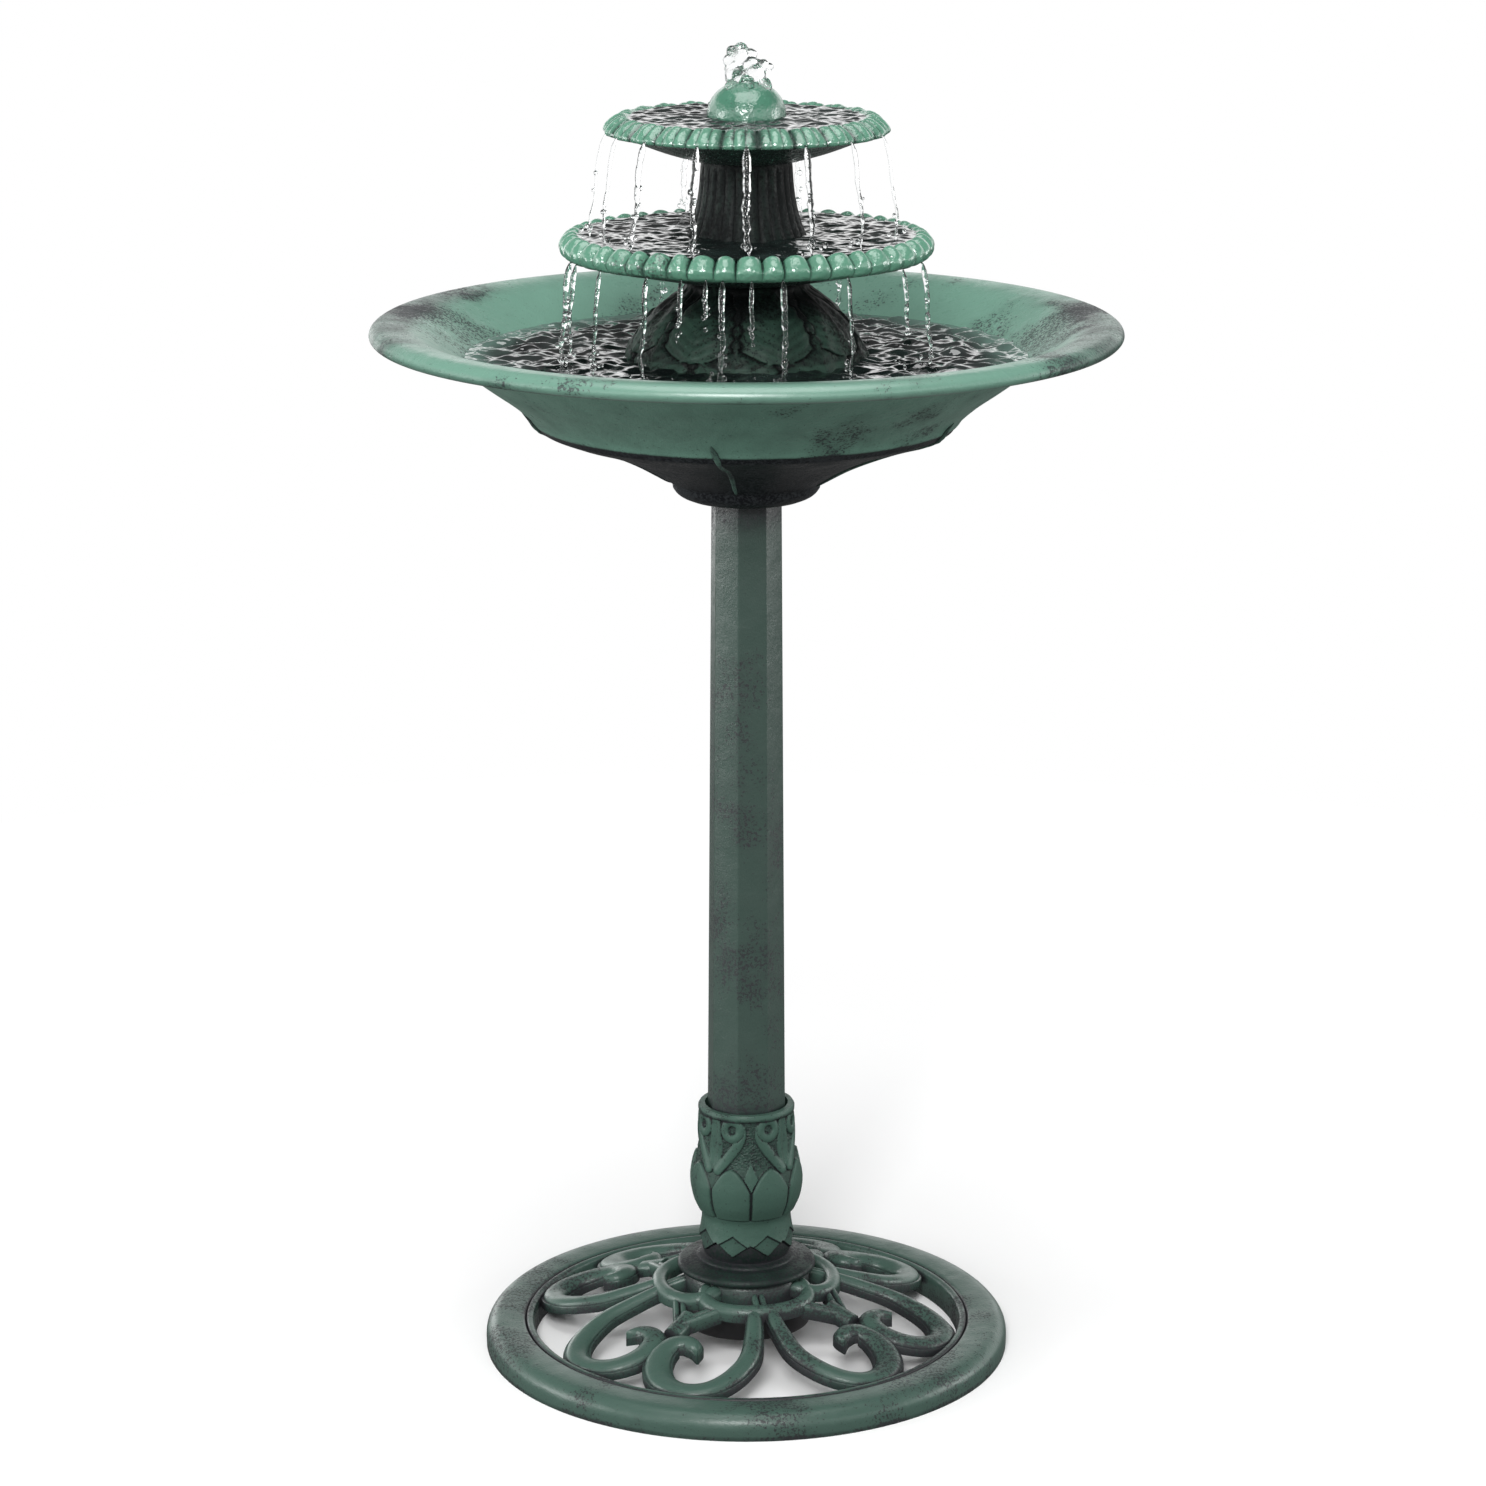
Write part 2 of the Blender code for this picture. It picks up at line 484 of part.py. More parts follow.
def make_pump_fittings(black, foam, ceramic, magnet, rubber):
    """Rotor on its shaft, filter, flow knob, cord gland, suction feet and the riser to the top."""
    shaft_front, shaft_back = CHAMBER_FRONT + 0.0015, MOTOR_BACK - 0.0065
    shaft = rod(SHAFT_RADIUS, (0, shaft_front, 0), (0, shaft_back, 0))
    add_piece("rotor_shaft", shaft, ceramic, (0, 0, PUMP_AXIS))
    bore = SHAFT_RADIUS + RUNNING_CLEARANCE
    magnet_back = shaft_back - 0.004
    rotor = [(bore, 0.0045), (VANE_RADIUS - 0.001, 0.0045), (VANE_RADIUS - 0.001, 0.0063), (0.0045, 0.0063),
             (0.0045, 0.0125), (MAGNET_RADIUS, 0.0125), (MAGNET_RADIUS, magnet_back), (bore, magnet_back)]
    impeller = add_piece("impeller", turned_along_y(rotor, 16), magnet, (0, 0, PUMP_AXIS))
    for vane in range(4):
        blade = block((0.0026, CHAMBER_FRONT + 0.002, -0.0008), (VANE_RADIUS, 0.0055, 0.0008))
        arm = add_piece(f"vane_arm_{vane}", blade, None, (0, 0, PUMP_AXIS))
        arm.rotation_euler.y = vane * math.pi / 2
        combine(impeller, arm, "UNION")

    half = PUMP_WIDTH / 2 - GRILLE_WALL - GAP
    sponge = block((-half, GRILLE_FRONT + GRILLE_WALL + GAP, PUMP_FOOT + GRILLE_WALL + GAP),
                   (half, GRILLE_BACK - GAP, KNOB_PLACE[2] - 0.005))
    add_piece("filter_sponge", sponge, foam)

    knob = [(0, -0.0065), (KNOB_RADIUS - 0.001, -0.0065), (KNOB_RADIUS, -0.0055), (KNOB_RADIUS, -0.0005),
            (KNOB_STEM_RADIUS, -0.0005), (KNOB_STEM_RADIUS, 0.006), (0, 0.006)]
    knob = add_piece("flow_knob", turned_along_y(knob, 20), black, KNOB_PLACE)
    pointer = block((-0.0009, -0.0082, 0), (0.0009, -0.004, KNOB_RADIUS - 0.0008))
    combine(knob, add_piece("pointer_arm", pointer, None, KNOB_PLACE), "UNION")

    gland = [(CORD_RADIUS, GAP), (0.0062, GAP), (0.0062, 0.004), (0.0048, 0.0075), (CORD_RADIUS, 0.0075)]
    add_piece("cord_gland", turned_along_y(gland, 16), rubber, (0, MOTOR_BACK, PUMP_AXIS + 0.010))

    foot = [(0, 0.003), (0.005, 0.0022), (0.0088, 0), (0.0092, 0.0006), (0.0062, 0.0052), (0.0036, 0.0080),
            (0.0036, CUP_FOOT_HEIGHT), (0, CUP_FOOT_HEIGHT)]
    beside = PUMP_WIDTH / 2 - 0.0055
    places = [(x, y) for y in (GRILLE_FRONT + 0.0115, MOTOR_BACK - 0.016) for x in (-beside, beside)]
    for number, (x, y) in enumerate(places, 1):
        add_piece(f"suction_foot_{number}", turned(foot, 14), rubber, (x, y, SEAL_FOOT))

    length = RISER_TOP - RISER_FOOT
    tube = [(RISER_BORE, 0), (RISER_RADIUS, 0), (RISER_RADIUS, length), (RISER_BORE, length)]
    add_piece("riser_tube", turned(tube, 20), black, (0, 0, RISER_FOOT))


# ---------------------------------------------------------------- dishes, which lift off the pump together

def make_pump_cover(material, lift):
    """The domed cover that stands on the basin's seat, with six water inlets at its foot."""
    crown = COVER_MOUTH + 0.0065
    # (share of the way from the crown's radius to the foot's, share of the height)
    dome = [(1.0, 0.0), (0.982, 0.286), (0.935, 0.434), (0.891, 0.517), (0.806, 0.615), (0.685, 0.714),
            (0.509, 0.806), (0.306, 0.884), (0.120, 0.941), (0.028, 0.988), (0.0, 1.0)]
    skin = [(crown + out * (COVER_RADIUS - crown), up * COVER_HEIGHT) for out, up in dome]
    inner = offset(skin[:-2], COVER_WALL)
    mouth = [(COVER_MOUTH, COVER_HEIGHT), (COVER_MOUTH, COVER_HEIGHT - SPIGOT_DEPTH)]
    outline = skin + mouth + inner[::-1]
    place = (0, 0, COVER_FOOT - lift.location.z)
    cover = add_piece("pump_cover", turned(outline, 32), material, place, parent=lift)
    for inlet in range(INLETS):
        opening = block((COVER_RADIUS - 0.0165, -INLET_WIDTH / 2, -0.002),
                        (COVER_RADIUS + 0.01, INLET_WIDTH / 2, INLET_HEIGHT))
        turn = math.radians(30) + inlet * math.tau / INLETS
        combine(cover, add_piece(f"inlet_cutter_{inlet}", opening, None, (0, 0, COVER_FOOT), turn=turn))


def make_dish(name, rim, inside, underside, mouth, seat, material, lift):
    """A scalloped dish: a shell with a spigot below, a lobed drip rim, and a hole for the riser."""
    spigot = mouth - GAP
    outline = [(RISER_HOLE, 0), (spigot - SPIGOT_WALL, 0), (spigot - SPIGOT_WALL, GAP - SPIGOT_DEPTH),
               (spigot, GAP - SPIGOT_DEPTH), (spigot, 0), *underside, *rim, *inside, (RISER_HOLE, DISH_WALL)]
    lobed = {point for point in rim}

    def scallop(radius, height, step):
        if (radius, height) not in lobed or step % 2:
            return radius, height
        return radius - LOBE_DEPTH * 0.7, height - (LOBE_DEPTH * 0.6 if height == top else 0.0)

    top = max(height for _, height in rim)
    dish = turned(outline, 2 * LOBES, scallop)
    add_piece(name, dish, material, (0, 0, seat - lift.location.z), parent=lift)


def make_grommet(name, seat, rubber, lift):
    """The soft ring in a dish's hole, which slides on the riser."""
    bore = RISER_RADIUS + SLIDING_CLEARANCE
    body = RISER_HOLE - GAP
    outline = [(bore, -0.002), (body, -0.002), (body, DISH_WALL + GAP), (body + 0.003, DISH_WALL + GAP),
               (body + 0.003, DISH_WALL + 0.002), (bore, DISH_WALL + 0.003)]
    add_piece(name, turned(outline, 20), rubber, (0, 0, seat - lift.location.z), parent=lift)


def make_dishes(green, rubber, lift):
    """The two dishes with the fluted stem between them, and the finial with its nozzle on top."""
    rim = MIDDLE_RADIUS
    make_dish("middle_dish",
              rim=[(rim - 0.003, 0.0179), (rim, 0.0244), (rim - 0.003, 0.0315), (rim - 0.010, 0.0354)],
              inside=[(rim - 0.0165, 0.0290), (rim - 0.022, 0.0225), (0.052, DISH_WALL)],
              underside=[(0.048, 0), (rim - 0.013, 0.0160)],
              mouth=COVER_MOUTH, seat=MIDDLE_SEAT, material=green, lift=lift)
    make_grommet("middle_grommet", MIDDLE_SEAT, rubber, lift)

    height, mouth = STEM_HEIGHT, STEM_MOUTH
    stem = [(mouth + 0.0140, 0), (mouth + 0.0162, 0.018), (mouth + 0.0150, 0.0270), (mouth + 0.0105, 0.0370),
            (mouth + 0.0070, 0.0500), (mouth + 0.0048, 0.0620), (mouth + 0.0035, height - 0.004),
            (mouth + 0.0030, height)]
    inner = [(mouth, height), (mouth, height - SPIGOT_DEPTH), (mouth + 0.0035, 0.0450),
             (mouth + 0.0110, 0.0250), (mouth + 0.0105, 0)]
    fluted = {point for point in stem[1:-1]}
    bm = turned(stem + inner, 2 * FLUTES,
                lambda r, z, step: (r - (FLUTE_DEPTH if (r, z) in fluted and step % 2 else 0), z))
    add_piece("fluted_stem", bm, green, (0, 0, STEM_FOOT - lift.location.z), parent=lift)

    rim = TOP_RADIUS
    make_dish("top_dish",
              rim=[(rim - 0.002, 0.0192), (rim, 0.0234), (rim - 0.005, 0.0295), (rim - 0.013, 0.0334)],
              inside=[(rim - 0.019, 0.0285), (rim - 0.030, 0.0225), (0.040, DISH_WALL)],
              underside=[(0.041, 0), (rim - 0.012, 0.0180)],
              mouth=STEM_MOUTH, seat=TOP_SEAT, material=green, lift=lift)
    make_grommet("top_grommet", TOP_SEAT, rubber, lift)


def make_finial(green, lift):
    """The domed finial on a skirt that stands in the top dish, and the nozzle pressed into its tip."""
    rise = FINIAL_SKIRT
    top = rise + FINIAL_HEIGHT
    bore = RISER_RADIUS + SLIDING_CLEARANCE
    nozzle_seat = top - NOZZLE_LENGTH
    wall = 0.003
    place = (0, 0, FINIAL_FOOT - lift.location.z)
    outline = [(0.0170, 0), (0.0215, 0), (0.0240, rise - 0.004), (0.0276, rise), (0.0291, rise + 0.0035),
               (0.0289, rise + 0.0077), (0.0279, rise + 0.0122), (0.0261, rise + 0.0164),
               (0.0236, rise + 0.0200), (0.0203, rise + 0.0234), (0.0160, rise + 0.0261),
               (0.0122, rise + 0.0279), (0.0102, top - 0.001), (0.0100, top), (NOZZLE_RADIUS + GAP, top),
               (NOZZLE_RADIUS + GAP, nozzle_seat), (bore, nozzle_seat), (bore, nozzle_seat - 0.010),
               (0.0245 - wall, rise + 0.008), (0.0240 - wall, rise)]
    add_piece("finial", turned(outline, 20), green, place, parent=lift)
    nozzle = [(NOZZLE_BORE, nozzle_seat + GAP), (NOZZLE_RADIUS, nozzle_seat + GAP),
              (NOZZLE_RADIUS, top + GAP), (0.0062, top + GAP), (0.0055, top + 0.0022),
              (NOZZLE_BORE, top + 0.0022)]
    add_piece("nozzle", turned(nozzle, 16), green, place, parent=lift)


def main():
    for piece in list(bpy.data.objects):
        bpy.data.objects.remove(piece)
    bronze_green = finish("weathered_green", (0.055, 0.150, 0.110), 0.50)
    verdigris = finish("bright_green", (0.105, 0.300, 0.205), 0.40)
    dark_green = finish("dark_wet_green", (0.020, 0.035, 0.030), 0.35)
    black = finish("black_plastic", (0.015, 0.015, 0.015), 0.45)
    steel = finish("zinc_plated_steel", (0.60, 0.60, 0.58), 0.35, 1.0)
    rubber = finish("black_rubber", (0.025, 0.025, 0.025), 0.80)
    foam = finish("filter_foam", (0.030, 0.033, 0.036), 0.95)
    ceramic = finish("white_ceramic", (0.80, 0.79, 0.75), 0.25)
    magnet = finish("blue_rotor", (0.030, 0.060, 0.160), 0.40)

    make_foot(bronze_green)
    make_foot_fixings(black, steel)
    make_collar(bronze_green)
    make_column(bronze_green, black)
    make_basin(verdigris)
    make_basin_fixings(rubber, black)
    make_pump_housing(black)
    make_pump_fittings(black, foam, ceramic, magnet, rubber)

    lift = bpy.data.objects.new("lift_axis", None)
    bpy.context.scene.collection.objects.link(lift)
    lift.location.z = COVER_FOOT
    make_pump_cover(dark_green, lift)
    make_dishes(verdigris, rubber, lift)
    make_finial(verdigris, lift)


main()
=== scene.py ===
import math

import bmesh
import bpy
import numpy as np
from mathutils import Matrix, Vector, noise


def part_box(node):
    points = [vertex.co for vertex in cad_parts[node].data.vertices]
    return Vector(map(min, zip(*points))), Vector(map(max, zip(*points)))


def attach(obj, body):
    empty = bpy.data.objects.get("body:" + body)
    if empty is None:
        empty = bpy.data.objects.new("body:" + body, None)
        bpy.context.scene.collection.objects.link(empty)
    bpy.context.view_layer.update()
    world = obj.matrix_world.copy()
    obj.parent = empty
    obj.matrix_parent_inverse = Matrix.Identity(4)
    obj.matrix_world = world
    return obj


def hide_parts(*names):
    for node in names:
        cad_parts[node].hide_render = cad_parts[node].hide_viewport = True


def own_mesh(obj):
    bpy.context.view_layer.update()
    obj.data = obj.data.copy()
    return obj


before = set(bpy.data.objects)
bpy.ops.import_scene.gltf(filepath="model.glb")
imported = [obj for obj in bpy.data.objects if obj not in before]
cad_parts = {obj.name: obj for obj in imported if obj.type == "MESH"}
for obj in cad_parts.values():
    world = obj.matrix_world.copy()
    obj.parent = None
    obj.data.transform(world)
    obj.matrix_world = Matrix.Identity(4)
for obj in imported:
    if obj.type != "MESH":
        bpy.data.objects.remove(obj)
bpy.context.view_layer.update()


# ------------------------------------------------------------------ camera and studio
# A long lens a little above the basin's rim looks down at the whole fountain. The studio is a round pale
# floor that fades into an even white sky, with a soft key light in front, one light on each side, one
# overhead and a weak one behind.

CAMERA_PLACE = (-0.0026, -3.240, 1.337)
CAMERA_TILT = math.radians(75.24)  # 90 degrees looks level


def placed(name, data):
    """A new object in the scene with this data."""
    item = bpy.data.objects.new(name, data)
    bpy.context.scene.collection.objects.link(item)
    return item


camera_data = bpy.data.cameras.new("studio_camera")
camera_data.lens = 106.8
camera_data.sensor_width = 36.0
camera = placed("studio_camera", camera_data)
camera.location = CAMERA_PLACE
camera.rotation_euler = (CAMERA_TILT, 0.0, 0.0)
bpy.context.scene.camera = camera
bpy.context.scene.view_settings.view_transform = "Standard"


class Wire:
    """An output socket of a node tree. Python's operators on it add Math nodes to the tree."""

    def __init__(self, tree, socket=None):
        self.tree = tree
        self.socket = socket

    def add(self, kind, settings=None, sockets=None, out=0):
        """Any other node: its settings first, then its sockets' values or links. Gives one output."""
        node = self.tree.nodes.new(kind)
        for name, value in (settings or {}).items():
            setattr(node, name, value)
        for name, value in (sockets or {}).items():
            if isinstance(value, Wire):
                self.tree.links.new(value.socket, node.inputs[name])
            else:
                node.inputs[name].default_value = value
        return Wire(self.tree, node.outputs[out])

    def _math(self, operation, first, second):
        return self.add("ShaderNodeMath", {"operation": operation}, {0: first, 1: second})

    def __add__(self, other):
        return self._math("ADD", self, other)

    def __radd__(self, other):
        return self._math("ADD", other, self)

    def __sub__(self, other):
        return self._math("SUBTRACT", self, other)

    def __rsub__(self, other):
        return self._math("SUBTRACT", other, self)

    def __mul__(self, other):
        return self._math("MULTIPLY", self, other)

    def __rmul__(self, other):
        return self._math("MULTIPLY", other, self)

    def noise(self, scale, detail=3.0, roughness=0.55):
        """Noise at these coordinates, about 0.5 in the mean."""
        return self.add("ShaderNodeTexNoise", None,
                        {"Vector": self, "Scale": scale, "Detail": detail, "Roughness": roughness})

    def between(self, low, high):
        """0 below low and 1 above high, with a soft step between."""
        return self.add("ShaderNodeMapRange", {"interpolation_type": "SMOOTHSTEP"},
                        {0: self, 1: low, 2: high})

    def blend(self, first, second):
        """From the first colour to the second, by this mask."""
        return self.add("ShaderNodeMix", {"data_type": "RGBA"}, {0: self, 6: first, 7: second}, out=2)

    def bump(self, depth):
        """A normal from this height, depth metres deep."""
        return self.add("ShaderNodeBump", None, {"Height": self, "Distance": depth, "Strength": 1.0})


SKY_SEEN = 1.0  # behind the fountain and through clear water
SKY_LIGHT = 0.38  # on the fountain
SKY_GLOSS, UNDER_GLOSS = 1.50, 0.16  # in reflections, in a band over the horizon and elsewhere
sky = bpy.data.worlds.new("studio_sky")
sky.use_nodes = True
backdrop = sky.node_tree.nodes["Background"]
backdrop.inputs["Color"].default_value = (1, 1, 1, 1)
wire = Wire(sky.node_tree)
direction = wire.add("ShaderNodeTexCoord", out="Generated")
height = direction.add("ShaderNodeSeparateXYZ", None, {0: direction}, out="Z")
reflected = height.between(-0.08, 0.10) * height.between(0.50, 0.24) * SKY_GLOSS + UNDER_GLOSS
gloss = wire.add("ShaderNodeLightPath", out="Is Glossy Ray")
seen = (wire.add("ShaderNodeLightPath", out="Is Camera Ray")
        + wire.add("ShaderNodeLightPath", out="Is Transmission Ray")).between(0.0, 1.0)
strength = seen * SKY_SEEN + (1.0 - seen) * (gloss * reflected + (1.0 - gloss) * SKY_LIGHT)
sky.node_tree.links.new(strength.socket, backdrop.inputs["Strength"])
bpy.context.scene.world = sky


MIDDLE = Vector((0.0, 0.0, 0.6))


def soft_light(name, place, size, watts):
    """A square area light that looks at the fountain's middle."""
    data = bpy.data.lights.new(name, "AREA")
    data.energy = watts
    data.size = size
    light = placed(name, data)
    light.location = place
    light.rotation_euler = (MIDDLE - Vector(place)).to_track_quat("-Z", "Y").to_euler()
    light.visible_camera = False


soft_light("key_light", (-0.30, -3.1, 2.30), 1.15, 100.0)
soft_light("left_light", (-2.8, -0.4, 0.75), 1.4, 40.0)
soft_light("right_light", (2.8, 0.3, 0.75), 1.2, 26.0)
soft_light("overhead_light", (0.0, -0.5, 3.5), 2.4, 62.0)
soft_light("back_light", (-1.6, 3.2, 0.45), 1.2, 9.0)


def new_material(name, **constants):
    """A material, the wire to build it with, and its shader with these values on its own sockets."""
    material = bpy.data.materials.new(name)
    material.use_nodes = True
    shader = material.node_tree.nodes["Principled BSDF"]
    for socket, value in constants.items():
        shader.inputs[socket.replace("_", " ")].default_value = value
    return material, Wire(material.node_tree), shader


def connect(shader, **sockets):
    """Links wires to the shader's sockets."""
    for socket, wire in sockets.items():
        wire.tree.links.new(wire.socket, shader.inputs[socket.replace("_", " ")])


floor_material, wire, shader = new_material("pale_floor", Specular_IOR_Level=0.1, Emission_Strength=1.0)
place = wire.add("ShaderNodeTexCoord", out="Object")
away = place.add("ShaderNodeVectorMath", {"operation": "LENGTH"}, {0: place}, out="Value")
faded = away.between(0.55, 1.15)  # metres from the axis, from plain floor to the sky's white
paint = place.noise(3.0, 2.0).blend((0.93, 0.93, 0.93, 1), (0.95, 0.95, 0.95, 1))
connect(shader, Base_Color=faded.blend(paint, (0, 0, 0, 1)), Roughness=place.noise(9.0) * 0.1 + 0.8,
        Emission_Color=faded.blend((0, 0, 0, 1), (1, 1, 1, 1)))

FLOOR_RADIUS = 1.7
bpy.ops.mesh.primitive_circle_add(vertices=128, radius=FLOOR_RADIUS, fill_type="NGON")
floor = bpy.context.object
floor.name = "studio_floor"
floor.data.materials.append(floor_material)
floor.visible_diffuse = False
floor.visible_glossy = False


# ------------------------------------------------------------------ foot
# One openwork moulding in green resin: a rim channel, a hub, and between them four quarters of scroll
# work, each with a loop, a pair of scrolls and ribbed bars. Its low places hold dark paint and painted shade.

FOOT_TURN = math.radians(10.5)  # of the scroll pattern, from the front towards +X
# sooty paint, also the colour of the painted shade in hollows
SOOT_AND_SHADE = (0.016, 0.016, 0.019, 1)
foot_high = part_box("foot_openwork")[1]
rim_out = foot_high[0]
rim_width = 0.038
rim_in = rim_out - rim_width
rim_top = 0.0208
hub_radius = 0.049
BOLT_HOLE = 0.0043  # of the foot, the cup and the collar
hub_top = foot_high[2]


def weathered(name, light, deep, sponged, rough, gloss, soot_and_shade=SOOT_AND_SHADE, grain=0.0002, film=0.0, hollow=0.006):
    """Moulded resin: the attribute wash goes from the light to the deep colour. Sooty paint is sponged on in
    ragged patches, and painted shade from an ambient-occlusion mask darkens every hollow to the same
    sooty colour. film is the depth of the water that runs over it."""
    material, wire, shader = new_material(name, Specular_IOR_Level=gloss)
    place = wire.add("ShaderNodeTexCoord", out="Object")
    wash_and_shade = wire.add("ShaderNodeAttribute", {"attribute_name": "wash_and_shade"}, out="Fac")
    # painted shade: the ambient-occlusion mask darkens hollows towards the soot colour and puts more specks
    # there
    open_sky = wire.add("ShaderNodeAmbientOcclusion", {"only_local": True, "samples": 6},
                        {"Distance": hollow}, out="AO")
    crease = open_sky.between(0.90, 0.35)
    clouds = place.noise(11.0, 5.0, 0.6)
    patch = clouds.between(0.66 - 0.36 * sponged, 0.82 - 0.36 * sponged)
    stipple = place.noise(430.0, 2.0, 0.75)
    dots = (stipple + patch * 0.20 + wash_and_shade * 0.20 + crease * 0.30).between(0.67, 0.76)
    tone = place.noise(42.0, 5.0).between(0.30, 0.72)
    clean = (wash_and_shade + tone * 0.20 + patch * 0.28 - 0.08).between(0.0, 1.0).blend(light, deep)
    hollow_shaded = (crease * 0.85).blend(clean, soot_and_shade)
    height = place.noise(900.0, 2.0) * 0.5 + stipple * 0.8 + tone * 1.5
    if film:
        height = height + place.noise(150.0, 2.0) * (film / grain)
    connect(shader, Base_Color=(dots * 0.85).blend(hollow_shaded, soot_and_shade), Roughness=dots * 0.20 + tone * 0.08 + rough,
            Normal=height.bump(grain))
    return material


def eased(points, steps=6):
    """A smooth line through the points, with this many steps between two of them."""
    points = np.array(points, float)
    before = np.vstack([2 * points[0] - points[1], points[:-1]])
    after = np.vstack([points[1:], 2 * points[-1] - points[-2]])
    slopes = (after - before) / 2
    line = []
    for i in range(len(points) - 1):
        for t in np.arange(steps) / steps:
            line.append(points[i] * (2 * t**3 - 3 * t**2 + 1) + slopes[i] * (t**3 - 2 * t**2 + t)
                        + points[i + 1] * (3 * t**2 - 2 * t**3) + slopes[i + 1] * (t**3 - t**2))
    return np.array(line + [points[-1]])


def mesh_piece(name, points, faces, material=None, wash_and_shade=0.0, spun=True, creased=True):
    """An object from points and faces, turned outwards, with the wash attribute that its finish reads.
    A spun piece is welded where its outline repeats a point. A creased one has sharp corners."""
    mesh = bpy.data.meshes.new(name)
    mesh.from_pydata(np.asarray(points, float).tolist(), [], faces)
    attribute = mesh.attributes.new("wash_and_shade", "FLOAT", "POINT")
    attribute.data.foreach_set("value", np.broadcast_to(wash_and_shade, len(points)).astype(np.float32).ravel())
    bm = bmesh.new()
    bm.from_mesh(mesh)
    if spun:
        bmesh.ops.remove_doubles(bm, verts=bm.verts, dist=1e-7)
    else:
        bmesh.ops.recalc_face_normals(bm, faces=bm.faces)
    if bm.calc_volume(signed=True) < 0:
        bmesh.ops.reverse_faces(bm, faces=bm.faces)
    bm.to_mesh(mesh)
    bm.free()
    mesh.shade_smooth()
    if creased:
        mesh.set_sharp_from_angle(angle=math.radians(50))
    if material:
        mesh.materials.append(material)
    return placed(name, mesh)


def grid_faces(rows, columns, closed_rows):
    """Quads between the rings of a grid that closes along its columns."""
    row = np.arange(rows if closed_rows else rows - 1)[:, None]
    column = np.arange(columns)[None, :]
    here, following = row * columns, (row + 1) % rows * columns
    turned = (column + 1) % columns
    quads = np.stack([here + column, here + turned, following + turned, following + column], -1)
    return quads.reshape(-1, 4).tolist()


def lathe(name, outline, steps, material, shape=None, wash_and_shade=0.0):
    """A closed (radius, height) outline spun round Z. shape(radius, height, angle) moves the points, and
    wash is a number or wash(radius, height, angle). Angles run from the front towards +X."""
    outline = np.asarray(outline, float)
    angle = np.broadcast_to(np.arange(steps) * math.tau / steps, (len(outline), steps))
    radius = np.repeat(outline[:, :1], steps, 1)
    height = np.repeat(outline[:, 1:], steps, 1)
    amount = wash_and_shade(radius, height, angle) if callable(wash_and_shade) else wash_and_shade
    if shape:
        radius, height = shape(radius, height, angle)
    points = np.stack([radius * np.sin(angle), -radius * np.cos(angle), height], -1).reshape(-1, 3)
    faces = grid_faces(len(outline), steps, True)
    return mesh_piece(name, points, faces, material, np.broadcast_to(amount, angle.shape).ravel())


def joined(name, pieces):
    """These objects as one."""
    bm = bmesh.new()
    material = pieces[0].data.materials[0]
    for piece in pieces:
        bm.from_mesh(piece.data)
        bpy.data.objects.remove(piece)
    mesh = bpy.data.meshes.new(name)
    bm.to_mesh(mesh)
    bm.free()
    mesh.materials.append(material)
    return placed(name, mesh)


def crest(radius):
    """Height of the scroll work's crest, which falls in a straight line from the hub to the rim."""
    share = np.clip((radius - hub_radius) / (rim_in - hub_radius), 0.0, 1.0)
    return hub_top - 0.002 + (rim_top - hub_top + 0.001) * share


def arch(half_width, low, count):
    """The upper half of an oval section: (side, height) from left to right."""
    turn = np.linspace(math.pi, 0.0, count)
    return np.stack([half_width * np.cos(turn), low - low * np.sin(turn)], -1)


def sweep(name, line, section, material, rise=0.0, closed=False, groove=0.55):
    """A bar that follows (x, y, half width) points under the crest. Its section is (side in half widths,
    metres under the crest); its edges darken with depth, dark paint and painted shade together."""
    line, section = np.asarray(line, float), np.asarray(section, float)
    if closed:
        along = np.roll(line, -1, 0) - np.roll(line, 1, 0)
    else:
        along = np.gradient(line, axis=0)
    along = along[:, :2] / np.linalg.norm(along[:, :2], axis=1)[:, None]
    across = np.stack([-along[:, 1], along[:, 0]], -1)
    flat = line[:, None, :2] + across[:, None] * (section[None, :, :1] * line[:, None, 2:])
    height = crest(np.hypot(line[:, 0], line[:, 1]))[:, None] + rise + section[None, :, 1]
    points = np.concatenate([flat, height[..., None]], -1)
    count, around = len(line), len(section)
    faces = grid_faces(count, around, closed)
    points = points.reshape(-1, 3).tolist()
    # dark paint and painted shade: the deeper a point lies under the crest, the darker it is
    wash_and_shade = np.tile(groove * np.clip(-section[:, 1] / 0.0055 - 0.35, 0, 1) ** 1.5, count).tolist()
    if not closed:
        for start in (0, (count - 1) * around):
            points.append(np.mean(points[start:start + around], axis=0).tolist())
            wash_and_shade.append(groove)
            ring = list(range(start, start + around))
            faces += [[b, a, len(points) - 1] for a, b in zip(ring, ring[1:] + ring[:1])]
    return mesh_piece(name, points, faces, material, wash_and_shade, spun=False)


def new_tree(name, **inputs):
    """A geometry tree with these named number inputs, and a wire for each of them."""
    tree = bpy.data.node_groups.new(name, "GeometryNodeTree")
    tree.interface.new_socket("Geometry", in_out="INPUT", socket_type="NodeSocketGeometry")
    tree.interface.new_socket("Geometry", in_out="OUTPUT", socket_type="NodeSocketGeometry")
    for label, value in inputs.items():
        kind = "NodeSocketInt" if isinstance(value, int) else "NodeSocketFloat"
        tree.interface.new_socket(label, in_out="INPUT", socket_type=kind).default_value = value
    entry = tree.nodes.new("NodeGroupInput")
    return tree, [Wire(tree, socket) for socket in entry.outputs[:1 + len(inputs)]]


